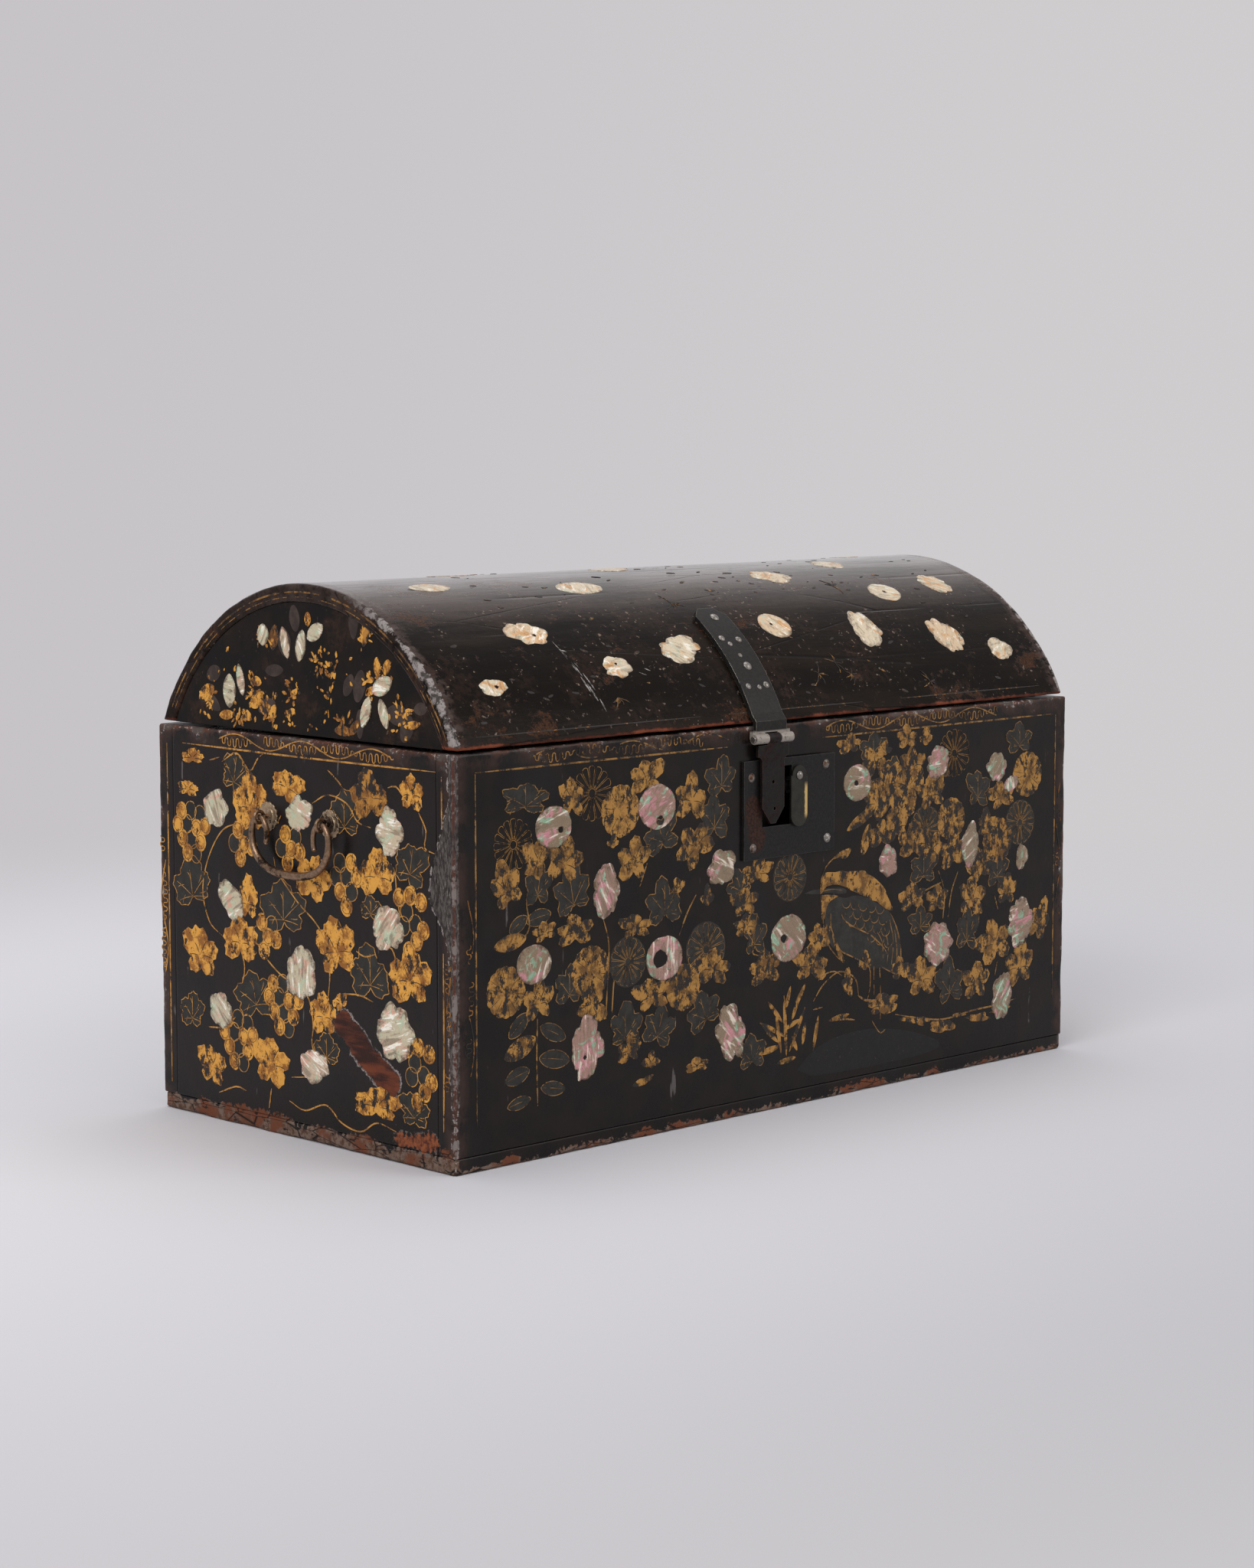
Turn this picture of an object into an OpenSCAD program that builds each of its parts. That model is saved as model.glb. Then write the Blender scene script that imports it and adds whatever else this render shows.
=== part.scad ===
/* [Carcase] */
// Outside length of the carcase along the front
body_w = 450; // [400:5:560]
// Outside depth of the carcase from front to back
body_d = 224; // [190:2:300]
// Height of the carcase without its lid
body_h = 196.5; // [180:0.5:260]
// Thickness of the four side boards
board_t = 12; // [10:0.5:16]
// Thickness of the bottom board that the sides stand on
bottom_t = 8; // [6:0.5:14]
// Depth of the rebate that laps the front and back boards over the ends
lap_depth = 6; // [4:0.5:8]

/* [Lid] */
// Rise of the barrel above its rim
lid_rise = 73; // [50:1:90]
// Distance that each end of the lid stands inside the end of the carcase
lid_end_inset = 2.5; // [1:0.5:4]
// Distance that the rims of the lid stand inside the front and back of the carcase
lid_side_inset = 0.5; // [0.5:0.5:3]
// Shadow gap between the carcase and the closed lid
lid_gap = 1.5; // [1:0.25:3]
// Number of staves in the barrel
stave_count = 9; // [7:1:11]
// Thickness of a stave
stave_t = 9; // [7:0.5:12]
// Thickness of the two arched end panels
panel_t = 12; // [9:0.5:16]
// Depth that the end panels sit back from the ends of the staves
panel_setback = 0.8; // [0.4:0.2:2]

/* [Wooden pegs] */
// Radius of a wooden peg
peg_r = 1.6; // [1.2:0.1:2.2]
// Length of a wooden peg
peg_l = 20; // [16:1:24]
// Number of pegs up each corner
corner_pegs = 4; // [3:1:6]

/* [Shell inlay] */
// Depth of the pocket that a shell lies in
shell_bed = 0.9; // [0.6:0.1:1.4]
// Height of a shell above the lacquer
shell_proud = 0.2; // [0.1:0.05:0.4]
// Extra depth of the flat pockets cut in the round barrel
barrel_bed = 1.4; // [1.2:0.1:2]

/* [Hasp] */
// Place of the hasp along the front, from the middle
hasp_x = -15; // [-40:0.5:40]
// Width of the hasp strap
strap_w = 22; // [20:0.5:32]
// Thickness of the hasp strap
strap_t = 2.2; // [1.6:0.1:3]
// Length of the strap up the barrel from the rim
strap_run = 71; // [60:1:90]
// Length of the hasp leaf below its pin
leaf_l = 43; // [36:0.5:52]
// Width of the leaf at its shoulders
leaf_w = 22; // [18:0.5:26]
// Width of the leaf below its shoulders
tongue_w = 16; // [12:0.5:18]
// Thickness of the hasp leaf
leaf_t = 1.6; // [1.2:0.1:2]
// Radius of the hasp pin
hasp_pin_r = 1; // [0.8:0.1:1.3]
// Radius of the hasp knuckles
hasp_knuckle_r = 2.6; // [2.3:0.1:3]

/* [Lock] */
// Place of the lock plate along the front, from the middle
lock_x = 0; // [-30:0.5:30]
// Distance from the top of the carcase to the middle of the lock plate
lock_drop = 42; // [39:0.5:50]
// Width of the lock plate
plate_w = 67; // [66:0.5:80]
// Height of the lock plate
plate_h = 50; // [48:0.5:60]
// Thickness of the lock plate
plate_t = 1.7; // [1.2:0.1:2]
// Width of the slot that took the staple of the hasp
slot_w = 22; // [14:0.5:22]
// Height of the slot that took the staple of the hasp
slot_h = 30; // [24:0.5:32]
// Radius of the round part of the keyhole
keyhole_r = 3; // [2.6:0.1:3.4]

/* [Bail handles] */
// Distance between the two eyes of a handle
bail_span = 47; // [40:0.5:60]
// Distance from the top of the carcase down to the eyes
bail_drop = 39.5; // [36:0.5:60]
// Distance of the handle wire from the end of the carcase
bail_out = 6; // [5:0.25:9]
// Radius of the handle wire at its ends
bail_r = 1.5; // [1.2:0.1:1.8]
// Radius of the handle wire in the middle of the grip
grip_r = 2.1; // [1.9:0.1:2.4]
// Radius of the hook at each end of the handle
hook_r = 5.2; // [4.5:0.1:6.5]
// Drop of the handle below its eyes
bail_h = 26.5; // [24:0.5:36]
// Radius of the wire in an eye
eye_wire_r = 0.9; // [0.7:0.1:1.2]
// Radius of a rosette behind an eye
rosette_r = 7.2; // [6:0.2:9]

/* [Back hinges] */
// Distance of a back hinge from the middle
hinge_x = 130; // [100:5:160]
// Width of a back hinge
hinge_w = 36; // [30:1:46]
// Length of a hinge leaf on the board or on the barrel
hinge_leaf = 44; // [36:1:56]
// Thickness of a hinge leaf
hinge_t = 1.6; // [1.2:0.1:2]
// Radius of a hinge pin
hinge_pin_r = 1.5; // [1.2:0.1:1.8]
// Radius of a hinge knuckle
hinge_knuckle_r = 3.2; // [2.9:0.1:3.8]

/* [Fits] */
// Radial clearance of pins, pegs and nails in their holes
pin_fit = 0.05; // [0.02:0.01:0.1]
// Gap between pieces that move past each other
run_gap = 0.4; // [0.3:0.05:0.6]

/* [Hidden] */
$fn = 48;
barrel_fn = 360;
eps = 1;

black = "#17110e";
dark_wood = "#3a2418";
iron = "#2b2724";
worn_iron = "#6d6a66";
brass = "#8a6a34";
pearl = "#d9d6c6";

// Carcase
wall_h = body_h - bottom_t;
end_d = body_d - 2 * (board_t - lap_depth);
corner_x = body_w / 2 - board_t / 2;
wall_mid_y = body_d / 2 - board_t / 2;
peg_back = 0.2;
bottom_peg_pitch = 75;
end_peg_pitch = 60;

// Barrel
lid_w = body_w - 2 * lid_end_inset;
lid_half = body_d / 2 - lid_side_inset;
rim_z = body_h + lid_gap;
barrel_r = (lid_half * lid_half + lid_rise * lid_rise) / (2 * lid_rise);
barrel_z = rim_z + lid_rise - barrel_r;
rim_angle = asin(lid_half / barrel_r);
stave_angle = 2 * rim_angle / stave_count;
barrel_arc = 2 * rim_angle * PI / 180 * barrel_r;
panel_r = barrel_r - stave_t - pin_fit;
panel_mid_x = lid_w / 2 - panel_setback - panel_t / 2;

// The blossom places below are drawn on faces of these sizes
drawn_w = 450;
drawn_h = 196.5;
drawn_d = 224;
drawn_arc = 282;
drawn_lid_h = 73;
spread_x = body_w / drawn_w;
spread_z = body_h / drawn_h;
spread_y = body_d / drawn_d;
spread_v = barrel_arc / drawn_arc;
spread_rise = lid_rise / drawn_lid_h;

// Each shell is its place across and up the face, width, height, lobes and turn
front_blossoms = [
  [-162, 158, 23, 20, 0, 0],
  [-93, 162, 24, 21, 9, 0],
  [-175, 94, 22, 19, 8, 0],
  [-88, 87, 25, 22, 0, 0],
  [1, 87, 26, 24, 0, 0],
  [53, 162, 21, 19, 0, 0],
  [117, 168, 18, 17, 7, 0],
  [166, 162, 17, 16, 6, 0],
  [178, 152, 13, 8, 0, 20],
  [-128, 124, 19, 28, 6, 10],
  [-48, 128, 22, 19, 5, 30],
  [78, 119, 15, 19, 5, 20],
  [144, 121, 14, 25, 4, -8],
  [188, 111, 10, 14, 3, 0],
  [-141, 50, 22, 31, 7, -10],
  [-41, 44, 19, 30, 6, 12],
  [118, 71, 24, 25, 7, 0],
  [187, 75, 22, 28, 6, 15],
  [172, 36, 16, 26, 5, 0]
];
left_blossoms = [
  [-66, 157, 21, 20, 5, 0],
  [0, 160, 21, 18, 5, 25],
  [67, 157, 19, 25, 6, 0],
  [-54, 112, 15, 23, 5, 40],
  [65, 111, 21, 20, 6, 10],
  [0, 83, 26, 23, 4, 45],
  [-64, 56, 18, 18, 5, 0],
  [9, 38, 20, 16, 4, 20],
  [70, 62, 27, 28, 6, 0]
];
right_blossoms = [
  [-70, 62, 26, 27, 6, 20],
  [-62, 118, 20, 21, 5, 0],
  [-66, 160, 20, 22, 5, 40],
  [2, 166, 20, 17, 5, 0],
  [60, 152, 21, 20, 6, 0],
  [56, 104, 16, 23, 5, 15],
  [-4, 90, 25, 23, 4, 0],
  [66, 54, 19, 20, 5, 30],
  [-12, 40, 20, 17, 5, 0]
];
barrel_blossoms = [
  [-185, 31, 18, 10, 3, 0],
  [-143, 63, 26, 17, 6, 0],
  [-100, 37, 18, 13, 3, 20],
  [-51, 46, 27, 17, 5, 0],
  [27, 57, 21, 18, 0, 0],
  [91, 50, 20, 26, 6, 0],
  [150, 42, 20, 26, 5, 10],
  [187, 30, 18, 14, 3, 0],
  [133, 79, 22, 17, 7, 0],
  [180, 85, 20, 22, 5, 30],
  [-165, 113, 24, 13, 0, 0],
  [-75, 102, 30, 16, 0, 0],
  [67, 104, 24, 18, 6, 0],
  [130, 120, 20, 17, 5, 0],
  [-120, 150, 22, 17, 6, 0],
  [-20, 138, 22, 18, 5, 20],
  [30, 166, 24, 18, 0, 0],
  [-66, 180, 24, 20, 6, 0],
  [100, 176, 22, 18, 5, 0],
  [176, 150, 20, 16, 6, 0],
  [-176, 196, 20, 18, 5, 10],
  [-16, 212, 24, 20, 6, 0],
  [60, 224, 20, 18, 0, 0],
  [150, 216, 22, 18, 5, 0],
  [-84, 236, 24, 18, 6, 0]
];
lid_petals = [
  [-57.5, 18, 11, 14, 3, 0],
  [-48.5, 24, 6, 15, 0, 12],
  [-30.5, 47, 10, 8, 3, 0],
  [-13.5, 44, 6, 15, 0, 15],
  [-1.5, 43, 8, 15, 0, -12],
  [9.5, 50, 13, 8, 0, 30],
  [58.5, 27, 16, 8, 0, 25],
  [46.5, 14, 9, 12, 0, -20],
  [59.5, 14, 8, 11, 0, 20]
];

// Hasp: the strap bends out over the rim and drops to its knuckles
strap_y = -(body_d / 2 + run_gap + 0.2);
bend_v = 4;
hasp_pin_y = -(body_d / 2 + hasp_knuckle_r + 0.9);
hasp_pin_z = body_h - 6.2;
strap_knuckle_w = strap_w + 5;
leaf_knuckle_w = 9;
knuckle_cut = hasp_knuckle_r + run_gap;
strap_nails_at = [
  [1.3, 63.5, 2.6],
  [-5.5, 48.5, 2],
  [-2.4, 44.5, 1.6],
  [5.6, 47, 2],
  [-0.4, 37, 1.4],
  [0.5, 30.5, 2.6],
  [-5.9, 19, 1.8],
  [1.6, 18, 1.5],
  [7.1, 19, 2]
];
nail_shank_r = 0.8;
nail_shank_l = 7;
point_h = 8;
shoulder_z = 15;
leaf_holes_at = [[0, -22], [1, -35.5]];
leaf_hole_r = 0.9;

// Lock, measured from the middle of its plate
lock_z = body_h - lock_drop;
recess_half_w = 25;
recess_low = -13;
recess_high = 22;
recess_depth = board_t - 3;
slot_mid_x = -9.5;
slot_mid_z = 6;
keyhole_x = 5.5;
keyhole_slot_w = 3;
keyhole_slot_l = 7.5;
bolt_x = 1.6;
bolt_l = 21.5;
bolt_low = 8;
bolt_h = 5;
bolt_t = 3;
bolt_y = -body_d / 2 + 4;
guide_t = 1.4;
guide_w = 1.8;
guides_at = [1.9, 5];
key_notch_w = 4;
key_notch_h = 1.5;
spring_t = 0.6;
spring_r = 12;
spring_mid_x = 8;
spring_foot_x = 16.4;
spring_foot_w = 2.4;
plate_nails_at = [[-28, 16.5], [27, 19.5], [-27, -19]];
plate_screw_at = [28, -18.5];
cover_w = 12;
cover_t = 1.2;
cover_top_r = 5;
cover_l = 26;
cover_pivot_z = 15.5;
cover_lift = plate_t + run_gap / 2;
rivet_r = 1.2;

// Handles
eye_z = body_h - bail_drop;
eye_ring_r = bail_r + run_gap + eye_wire_r;
eye_run = 3;
eye_shank_r = 1.2;
leg_r = 0.8;
leg_l = 9;
rosette_t = 1.2;
hook_leg = 8;
bail_side = bail_span / 2 + hook_r;
bail_corner = min(bail_h - hook_r - run_gap, bail_side - hook_leg);

// Back hinges
hinge_y = body_d / 2 + hinge_knuckle_r + 0.5;
hinge_z = body_h + lid_gap / 2;
hinge_mid_w = hinge_w / 3;
web_v = 4;
hinge_nails_at = [[-11, 12], [11, 12], [-11, 32], [11, 32], [0, 38]];
hinge_nail_head = 2.2;

function stave_name(i) = str("lid_stave_", i);

// An outline whose radius swells into rounded lobes with a cusp between them
function lobed(w, h, lobes) =
  let (points = max(16, 5 * lobes), bite = lobes == 0 ? 0 : 0.26)
  [for (k = [0:points - 1])
    let (a = 360 * k / points, r = 1 - bite + bite * abs(cos(lobes * a / 2)))
    [w / 2 * r * cos(a), h / 2 * r * sin(a)]];

// Faces: local X runs right across the face, local Y up it and local Z out of it
module on_front(x, z) translate([x, -body_d / 2, z]) rotate([90, 0, 0]) children();
module on_back(x, z) translate([-x, body_d / 2, z]) rotate([90, 0, 180]) children();
module on_left(u, z) translate([-body_w / 2, -u, z]) rotate([90, 0, -90]) children();
module on_right(u, z) translate([body_w / 2, u, z]) rotate([90, 0, 90]) children();

// The barrel from its front rim: v is the distance round the arc
function barrel_angle(v) = rim_angle - v / barrel_r * 180 / PI;
// A point of the end view that stands a height out from the barrel at an angle
function round_barrel(out, angle) =
  let (r = barrel_r + out)
  [-r * sin(angle), barrel_z + r * cos(angle)];

module on_barrel(x, v) {
  translate([x, 0, barrel_z]) rotate([barrel_angle(v), 0, 0]) translate([0, 0, barrel_r]) children();
}

// A profile drawn in Y and Z, run along X about a middle place
module along_x(length, x = 0) {
  translate([x, 0, 0]) rotate([90, 0, 90]) linear_extrude(length, center = true) children();
}

// A pin, bore or bar whose axis runs along X, centred
module bar_x(r, length) rotate([0, 90, 0]) cylinder(r = r, h = length, center = true);

module ring_2d(r_out, r_in) {
  difference() {
    circle(r_out, $fn = barrel_fn);
    circle(r_in, $fn = barrel_fn);
  }
}

// A wedge of the barrel between two angles from the top, positive to the front
module wedge_2d(from, to) {
  reach = 1.6 * barrel_r;
  mid = (from + to) / 2;
  polygon([
    [0, 0],
    [-reach * sin(from), reach * cos(from)],
    [-reach * sin(mid), reach * cos(mid)],
    [-reach * sin(to), reach * cos(to)]
  ]);
}

module above_rim_2d() translate([-barrel_r, rim_z]) square([2 * barrel_r, 2 * barrel_r]);

// Shell pieces lie in flat pockets: the same outline cuts the bed and fills it
module shell_block(b, bed, height, less = 0) {
  rotate(b[5]) translate([0, 0, -bed]) linear_extrude(height) polygon(lobed(b[2] - less, b[3] - less, b[4]));
}
module shell_bed_cut(b) shell_block(b, shell_bed, shell_bed + eps);
module shell_piece(b) shell_block(b, shell_bed, shell_bed + shell_proud, 2 * pin_fit);

module on_front_place(b) on_front(b[0] * spread_x, b[1] * spread_z) children();
module on_left_place(b) on_left(b[0] * spread_y, b[1] * spread_z) children();
module on_right_place(b) on_right(b[0] * spread_y, b[1] * spread_z) children();

function clear_of_stave(b, i) =
  let (low = (i - 1) * stave_angle, high = i * stave_angle)
  let (mid = b[1] * spread_v / barrel_r * 180 / PI, half = (b[2] + b[3]) / 2 / barrel_r * 180 / PI)
  mid + half < low || mid - half > high;

module peg() cylinder(r = peg_r, h = peg_l);
module peg_hole() translate([0, 0, -eps]) cylinder(r = peg_r + pin_fit, h = peg_l + eps + pin_fit);

// Corner pegs pass through the laps of the front and back boards into the ends
module corner_peg_places() {
  for (side = [-1, 1], k = [0:corner_pegs - 1]) {
    z = bottom_t + wall_h * (k + 0.5) / corner_pegs;
    translate([side * corner_x, -body_d / 2 + peg_back, z]) rotate([-90, 0, 0]) children();
    translate([side * corner_x, body_d / 2 - peg_back, z]) rotate([90, 0, 0]) children();
  }
}

// Bottom pegs come up through the bottom board into the walls
module bottom_peg_places() {
  for (side = [-1, 1]) {
    for (k = [-2:2]) translate([k * bottom_peg_pitch, side * wall_mid_y, peg_back]) children();
    for (k = [-1:1]) translate([side * corner_x, k * end_peg_pitch, peg_back]) children();
  }
}

// A round head with a domed top over a plain shank, pointing down from its seat
module nail(head_r) {
  dome_h = head_r * 0.45;
  dome_r = (head_r * head_r + dome_h * dome_h) / (2 * dome_h);
  rotate_extrude() intersection() {
    translate([0, dome_h - dome_r]) circle(dome_r);
    square([head_r, dome_h]);
  }
  translate([0, 0, -nail_shank_l]) cylinder(r = nail_shank_r, h = nail_shank_l + dome_h / 4);
}
module nail_hole() {
  depth = nail_shank_l + pin_fit;
  translate([0, 0, -depth]) cylinder(r = nail_shank_r + pin_fit, h = depth + 3 * strap_t);
}

module bottom_board() {
  color(dark_wood) difference() {
    translate([-body_w / 2, -body_d / 2, 0]) cube([body_w, body_d, bottom_t]);
    bottom_peg_places() peg_hole();
  }
}

// A long board with a rebate at each end, drawn for the front and mirrored for the back
module long_board() {
  difference() {
    translate([-body_w / 2, -body_d / 2, bottom_t]) cube([body_w, board_t, wall_h]);
    for (side = [-1, 1])
      translate([side * (corner_x + eps / 2), (lap_depth + eps - end_d) / 2, bottom_t + wall_h / 2])
        cube([board_t + eps, lap_depth + eps, wall_h + 2 * eps], center = true);
  }
}

module front_board() {
  color(black) difference() {
    long_board();
    corner_peg_places() peg_hole();
    bottom_peg_places() peg_hole();
    for (b = front_blossoms) on_front_place(b) shell_bed_cut(b);
    on_front(lock_x, lock_z) lock_recess();
    on_front(lock_x, lock_z) plate_fixings() nail_hole();
  }
}

module lock_recess() {
  size = [2 * recess_half_w, recess_high - recess_low, recess_depth + eps];
  translate([-recess_half_w, recess_low, -recess_depth]) cube(size);
}

module plate_nail_places() for (p = plate_nails_at) translate([p[0], p[1], plate_t]) children();
module plate_screw_place() translate([plate_screw_at[0], plate_screw_at[1], plate_t]) children();
module plate_fixings() {
  plate_nail_places() children();
  plate_screw_place() children();
}

module back_board() {
  color(black) difference() {
    mirror([0, 1, 0]) long_board();
    corner_peg_places() peg_hole();
    bottom_peg_places() peg_hole();
    for (side = [-1, 1]) lower_hinge_nail_places(side) nail_hole();
  }
}

module end_board() {
  difference() {
    translate([-body_w / 2, -end_d / 2, bottom_t]) cube([board_t, end_d, wall_h]);
    corner_peg_places() peg_hole();
    bottom_peg_places() peg_hole();
    left_eye_places() eye_hole();
  }
}

module left_end_board() {
  color(black) difference() {
    end_board();
    for (b = left_blossoms) on_left_place(b) shell_bed_cut(b);
  }
}

module right_end_board() {
  color(black) difference() {
    mirror([1, 0, 0]) end_board();
    for (b = right_blossoms) on_right_place(b) shell_bed_cut(b);
  }
}

module carcase_pegs() {
  color(dark_wood) {
    corner_peg_places() peg();
    bottom_peg_places() peg();
  }
}

// The handle: a broad curve of wire whose ends hook over, with a short straight run through each eye
module wire_bend(r, angle) rotate_extrude(angle = angle) translate([r, 0]) circle(bail_r, $fn = 24);
module wire_down(length) rotate([90, 0, 0]) cylinder(r = bail_r, h = length);

module bail() {
  tip_x = bail_span / 2 - hook_r;
  bend_r = hook_r - eye_run / 2;
  for (side = [-1, 1]) {
    translate([side * bail_span / 2, 0, 0]) bar_x(bail_r, eye_run);
    for (way = [-1, 1])
      translate([side * bail_span / 2 + way * eye_run / 2, -bend_r, 0])
        rotate([0, 0, way > 0 ? 0 : 90])
          wire_bend(bend_r, 90);
    translate([side * tip_x, -bend_r, 0]) wire_down(hook_leg);
    translate([side * tip_x, -bend_r - hook_leg, 0]) sphere(bail_r, $fn = 24);
    translate([side * bail_side, -bend_r, 0]) wire_down(bail_h - bend_r - bail_corner);
    translate([side * (bail_side - bail_corner), bail_corner - bail_h, 0])
      rotate([0, 0, side > 0 ? -90 : 180])
        wire_bend(bail_corner, 90);
  }
  for (way = [-1, 1])
    translate([0, -bail_h, 0]) rotate([0, way * 90, 0])
      cylinder(r1 = grip_r, r2 = bail_r, h = bail_side - bail_corner);
}

module left_bail() color(brass) on_left(0, eye_z) translate([0, 0, bail_out]) bail();
module right_bail() color(brass) on_right(0, eye_z) translate([0, 0, bail_out]) bail();

// An eye on a split shank: the ring stands square to the wire that it holds
module bail_eye() {
  ring_back = bail_out - eye_ring_r;
  legs_z = -board_t - leg_r - pin_fit;
  translate([0, 0, bail_out]) rotate([0, 90, 0])
    rotate_extrude() translate([eye_ring_r, 0]) circle(eye_wire_r, $fn = 24);
  translate([0, 0, legs_z]) cylinder(r = eye_shank_r, h = ring_back - legs_z);
  for (way = [-1, 1]) translate([0, 0, legs_z]) rotate([way * 90, 0, 0]) cylinder(r = leg_r, h = leg_l);
}
module eye_hole() {
  translate([0, 0, -board_t - eps]) cylinder(r = eye_shank_r + pin_fit, h = board_t + 2 * eps);
}

module left_eye_places() for (side = [-1, 1]) on_left(side * bail_span / 2, eye_z) children();
module right_eye_places() for (side = [-1, 1]) on_right(side * bail_span / 2, eye_z) children();

module left_bail_eyes() color(brass) left_eye_places() bail_eye();
module right_bail_eyes() color(brass) right_eye_places() bail_eye();

// A small chrysanthemum: a disc edged with round petals and raised in the middle
module rosette() {
  petals = 14;
  petal_r = rosette_r * sin(180 / petals) * 1.02;
  difference() {
    union() {
      linear_extrude(rosette_t * 0.6) {
        circle(rosette_r - petal_r);
        for (k = [0:petals - 1])
          rotate(360 * k / petals) translate([rosette_r - petal_r, 0]) circle(petal_r, $fn = 24);
      }
      cylinder(r = rosette_r * 0.62, h = rosette_t);
    }
    translate([0, 0, -eps]) cylinder(r = eye_shank_r + pin_fit, h = rosette_t + 2 * eps);
  }
}
module left_bail_rosettes() color(brass) left_eye_places() rosette();
module right_bail_rosettes() color(brass) right_eye_places() rosette();

module keyhole_2d() {
  circle(keyhole_r);
  translate([-keyhole_slot_w / 2, -keyhole_slot_l]) square([keyhole_slot_w, keyhole_slot_l]);
}

module lock_plate() {
  color(iron) on_front(lock_x, lock_z) difference() {
    linear_extrude(plate_t) difference() {
      square([plate_w, plate_h], center = true);
      translate([slot_mid_x, slot_mid_z]) square([slot_w, slot_h], center = true);
      translate([keyhole_x, 0]) keyhole_2d();
    }
    plate_fixings() nail_hole();
    translate([keyhole_x, cover_pivot_z, -eps]) cylinder(r = rivet_r + pin_fit, h = plate_t + 2 * eps);
  }
}

module lock_plate_nails() {
  color(iron) on_front(lock_x, lock_z) plate_nail_places() nail(2.4);
}

// A later screw with a slotted head in the lower right corner of the plate
module lock_plate_screw() {
  head_r = 2.6;
  color(iron) on_front(lock_x, lock_z) plate_screw_place() difference() {
    nail(head_r);
    rotate(30) translate([-head_r, -0.3, head_r * 0.2]) cube([2 * head_r, 0.6, head_r]);
  }
}

// The bolt slides left across the slot, driven by a key turned in its notch
module lock_bolt() {
  color(worn_iron) translate([lock_x, bolt_y, lock_z]) difference() {
    translate([bolt_x, 0, bolt_low]) cube([bolt_l, bolt_t, bolt_h]);
    translate([bolt_x + bolt_l / 2, -eps, bolt_low - eps])
      cube([key_notch_w, bolt_t + 2 * eps, key_notch_h + eps]);
  }
}

// Two bridges on the back of the plate carry the bolt
module bolt_guides() {
  gap = run_gap / 4;
  inner_h = bolt_h + 2 * gap;
  inner_reach = bolt_y + bolt_t + gap + body_d / 2;
  color(iron) for (x = guides_at) translate([lock_x + x, -body_d / 2, lock_z + bolt_low - gap]) difference() {
    translate([0, 0, -guide_t]) cube([guide_w, inner_reach + guide_t, inner_h + 2 * guide_t]);
    translate([-eps, -eps, 0]) cube([guide_w + 2 * eps, inner_reach + eps, inner_h]);
  }
}

// A bowed leaf spring on a foot presses down on the bolt, clear of the bridges
module lock_spring() {
  low = bolt_low + bolt_h + run_gap * 0.75;
  far = 2 * spring_r;
  tip = guides_at[1] + guide_w + run_gap - spring_mid_x;
  foot_low = low + spring_r * (1 - cos(40)) - spring_t;
  color(worn_iron) translate([lock_x, bolt_y + bolt_t, lock_z]) rotate([90, 0, 0]) {
    linear_extrude(bolt_t) translate([spring_mid_x, low + spring_r]) intersection() {
      ring_2d(spring_r, spring_r - spring_t);
      polygon([[0, 0], [tip, -1], [tip, -far], [far, -far], [far * sin(50), -far * cos(50)]]);
    }
    translate([spring_foot_x, foot_low, 0])
      cube([spring_foot_w, recess_high - 1 - foot_low, bolt_y + bolt_t + body_d / 2]);
  }
}

// A teardrop cover that hangs over the keyhole from its rivet
module keyhole_cover() {
  drop = cover_l - cover_w / 2;
  place = [keyhole_x, cover_pivot_z, cover_lift];
  color(iron) on_front(lock_x, lock_z) translate(place) difference() {
    linear_extrude(cover_t) {
      circle(cover_top_r);
      translate([-cover_w / 2, -drop]) square([cover_w, drop]);
      translate([0, -drop]) circle(cover_w / 2);
    }
    translate([0, 0, -eps]) cylinder(r = rivet_r + pin_fit, h = cover_t + 2 * eps);
  }
}

module keyhole_rivet() {
  shank_l = cover_lift + cover_t + run_gap / 2;
  color(worn_iron) on_front(lock_x + keyhole_x, lock_z + cover_pivot_z) {
    cylinder(r = rivet_r, h = shank_l);
    translate([0, 0, shank_l]) rotate_extrude() intersection() {
      translate([0, -1.3]) circle(2.6);
      square([2.4, 1.3]);
    }
  }
}

// Staves: wedges of the barrel wall. The two outer edges run on past the rim, which cuts them level
rim_spare = 9;
function stave_edge(i) =
  rim_angle - i * stave_angle + (i == 0 ? rim_spare : i == stave_count ? -rim_spare : 0);

module lid_stave(i) {
  color(black) difference() {
    along_x(lid_w) intersection() {
      translate([0, barrel_z]) intersection() {
        ring_2d(barrel_r, barrel_r - stave_t);
        wedge_2d(stave_edge(i - 1), stave_edge(i));
      }
      above_rim_2d();
    }
    stave_peg_places(i) peg_hole();
    for (b = barrel_blossoms) if (!clear_of_stave(b, i))
      on_barrel(b[0] * spread_x, b[1] * spread_v) shell_block(b, barrel_bed, barrel_bed + eps);
    if (i <= stave_count / 2) strap_nail_places() nail_hole();
    if (i > stave_count / 2) for (side = [-1, 1]) upper_hinge_nail_places(side) nail_hole();
  }
}

module stave_peg_places(i) {
  v = barrel_arc * (i - 0.5) / stave_count;
  for (side = [-1, 1])
    on_barrel(side * panel_mid_x, v) translate([0, 0, -peg_back]) mirror([0, 0, 1]) children();
}

module lid_panel() {
  difference() {
    along_x(panel_t, -panel_mid_x) intersection() {
      translate([0, barrel_z]) circle(panel_r, $fn = barrel_fn);
      above_rim_2d();
    }
    for (i = [1:stave_count]) stave_peg_places(i) peg_hole();
  }
}

// Places for petals on an end panel: across it, and up from its rim
module on_left_panel(b) {
  translate([-panel_mid_x - panel_t / 2, -b[0] * spread_y, rim_z + b[1] * spread_rise])
    rotate([90, 0, -90])
      children();
}

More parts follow.
